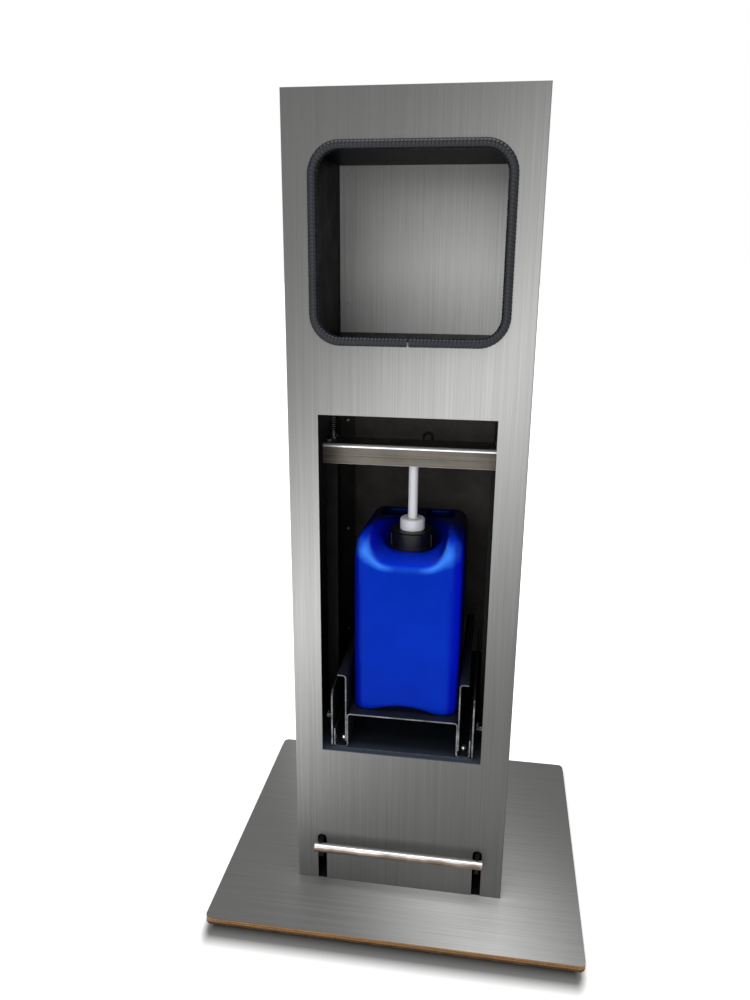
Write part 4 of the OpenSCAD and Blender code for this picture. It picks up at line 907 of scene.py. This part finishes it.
def blow_skin(can):
    """One soft skin over all the forms, softest where the hollow meets the front."""
    modify(can, "REMESH", mode="VOXEL", voxel_size=SKIN_NET)
    modify(can, "SMOOTH", factor=0.5, iterations=30)
    with editing(can, lambda v: abs(v.co.x) < LIP_HALF and v.co.y < LIP_Y and v.co.z > LIP_Z):
        bpy.ops.object.vertex_group_assign_new()
    modify(can, "SMOOTH", factor=0.5, iterations=110, vertex_group=can.vertex_groups[0].name)
    take(can)
    bpy.ops.object.vertex_group_remove(all=True)
    bpy.ops.object.shade_smooth()


def make_jerrican():
    low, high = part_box("jerrican")
    collar_low, collar_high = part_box("pump_collar")
    neck_y = (collar_low.y + collar_high.y) / 2
    can = can_body(low, high)
    cut_hollow(can, low, high.z, neck_y)
    cut_grip(can, high.z, neck_y + GRIP_BEHIND, high.y - GRIP_WALL)
    cut_arch(can, low)
    add_neck(can, high.z, neck_y)
    blow_skin(can)
    stand_for(can, "jerrican", "stand", blue_can)


make_trim()
make_springs()
make_hose()
make_jerrican()


# Studio

# Strength with which the white room lights faces; what is seen or mirrored of it has strength 1
WORLD_LIGHT = 0.36
# Side of the floor in metres, and its drop under the board
FLOOR_SIZE = 60
FLOOR_DROP = 0.5 * MM
# The floor's painted shadow: its reach, how much faster it ends beside the board, where it begins under it
SHADE_REACH = 56 * MM
SHADE_BESIDE = 2.2
SHADE_SIDE, SHADE_REAR = 14 * MM, 20 * MM


def seen_or_mirrored(tree):
    """1 for rays from the camera and for mirrored or clear ones, 0 for the rest."""
    path = tree.nodes.new("ShaderNodeLightPath")
    total = path.outputs["Is Camera Ray"]
    for name in ("Is Glossy Ray", "Is Transmission Ray"):
        either = tree.nodes.new("ShaderNodeMath")
        either.operation = "MAXIMUM"
        tree.links.new(total, either.inputs[0])
        tree.links.new(path.outputs[name], either.inputs[1])
        total = either.outputs[0]
    return total


def shade_share(finish):
    """Rounded distance from the base board, as a share of the shadow's reach."""
    low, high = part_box("base_board")
    side = finish.math("SUBTRACT", finish.across(), high.x - SHADE_SIDE)
    behind = finish.math("SUBTRACT", finish.along("Y"), high.y - SHADE_REAR)
    before = finish.math("MAXIMUM", finish.math("SUBTRACT", low.y, finish.along("Y")), 0.0)
    beside = finish.math("MAXIMUM", finish.math("MAXIMUM", side, behind), 0.0)
    square = finish.math("ADD", finish.math("POWER", finish.times(beside, SHADE_BESIDE), 2.0),
                         finish.math("POWER", before, 2.0))
    return finish.math("DIVIDE", finish.math("SQRT", square), SHADE_REACH)


def make_floor():
    """Pale floor that stays white to the horizon, with painted shadow over the real one near the stand."""
    floor = shape(bpy.ops.mesh.primitive_plane_add, "studio_floor", size=FLOOR_SIZE,
                  location=(0, 0, -FLOOR_DROP))
    finish = Finish("studio_floor")
    tree = finish.tree
    share = shade_share(finish)
    shade = finish.ramp(share, [(0.0, gray(0.03)), (0.3, gray(0.15)), (0.7, gray(0.72)), (1.0, gray(0.92))])
    finish.set(Base_Color=shade, Roughness=0.9, Specular_IOR_Level=0.1)
    light = finish.ramp(share, [(0.0, gray(0.0)), (0.3, gray(0.06)), (0.7, gray(0.58)), (1.0, gray(1.0))])
    glow = finish.add("ShaderNodeEmission", "Emission", Strength=finish.times(light, seen_or_mirrored(tree)))
    both = finish.add("ShaderNodeAddShader", "Shader", _0=finish.shader.outputs[0], _1=glow)
    tree.links.new(both, tree.nodes["Material Output"].inputs["Surface"])
    floor.data.materials.append(finish.material)


def make_world():
    """White room that is seen and mirrored at full strength and lights faces with less."""
    world = bpy.data.worlds.new("studio")
    bpy.context.scene.world = world
    world.use_nodes = True
    tree = world.node_tree
    ground = tree.nodes["Background"]
    ground.inputs["Color"].default_value = (1, 1, 1, 1)
    shown = tree.nodes.new("ShaderNodeMapRange")
    tree.links.new(seen_or_mirrored(tree), shown.inputs["Value"])
    shown.inputs["To Min"].default_value = WORLD_LIGHT
    shown.inputs["To Max"].default_value = 1.0
    tree.links.new(shown.outputs["Result"], ground.inputs["Strength"])


def soft_light(name, place, aim, size, power):
    """A flat lamp at a place, turned to its aim; metres and watts."""
    light = bpy.data.lights.new(name, "AREA")
    light.shape = "RECTANGLE"
    light.size, light.size_y = size
    light.energy = power
    lamp = bpy.data.objects.new(name, light)
    bpy.context.collection.objects.link(lamp)
    lamp.location = place
    lamp.rotation_euler = (Vector(aim) - Vector(place)).to_track_quat("-Z", "Y").to_euler()


def make_lights():
    soft_light("front", place=(0.1, -2.4, 0.7), aim=(0, 0, 0.55), size=(2.6, 0.9), power=9)
    soft_light("left", place=(-0.6, -2.4, 1.35), aim=(0, 0, 0.6), size=(1.6, 0.9), power=16)
    soft_light("top", place=(0.05, -0.5, 2.8), aim=(0, -0.1, 0), size=(1.8, 0.9), power=32)


# Camera where the photograph was taken, from the vanishing directions of its straight edges
CAMERA_PLACE = Vector((98.8, -1005, 839.5)) * MM
CAMERA_RIGHT = Vector((0.98847, 0.15130, 0.00667))
CAMERA_UP = Vector((-0.05007, 0.28491, 0.95725))
LENS = 28.56


def make_camera():
    camera = bpy.data.cameras.new("camera")
    camera.sensor_width = 36
    camera.sensor_fit = "AUTO"
    camera.lens = LENS
    camera.clip_start = 0.01
    view = bpy.data.objects.new("camera", camera)
    bpy.context.collection.objects.link(view)
    back = CAMERA_RIGHT.cross(CAMERA_UP)
    turn = Matrix((CAMERA_RIGHT, CAMERA_UP, back)).transposed()
    view.matrix_world = Matrix.Translation(CAMERA_PLACE) @ turn.to_4x4()
    bpy.context.scene.camera = view


make_floor()
make_world()
make_lights()
make_camera()
bpy.context.scene.view_settings.view_transform = "Standard"
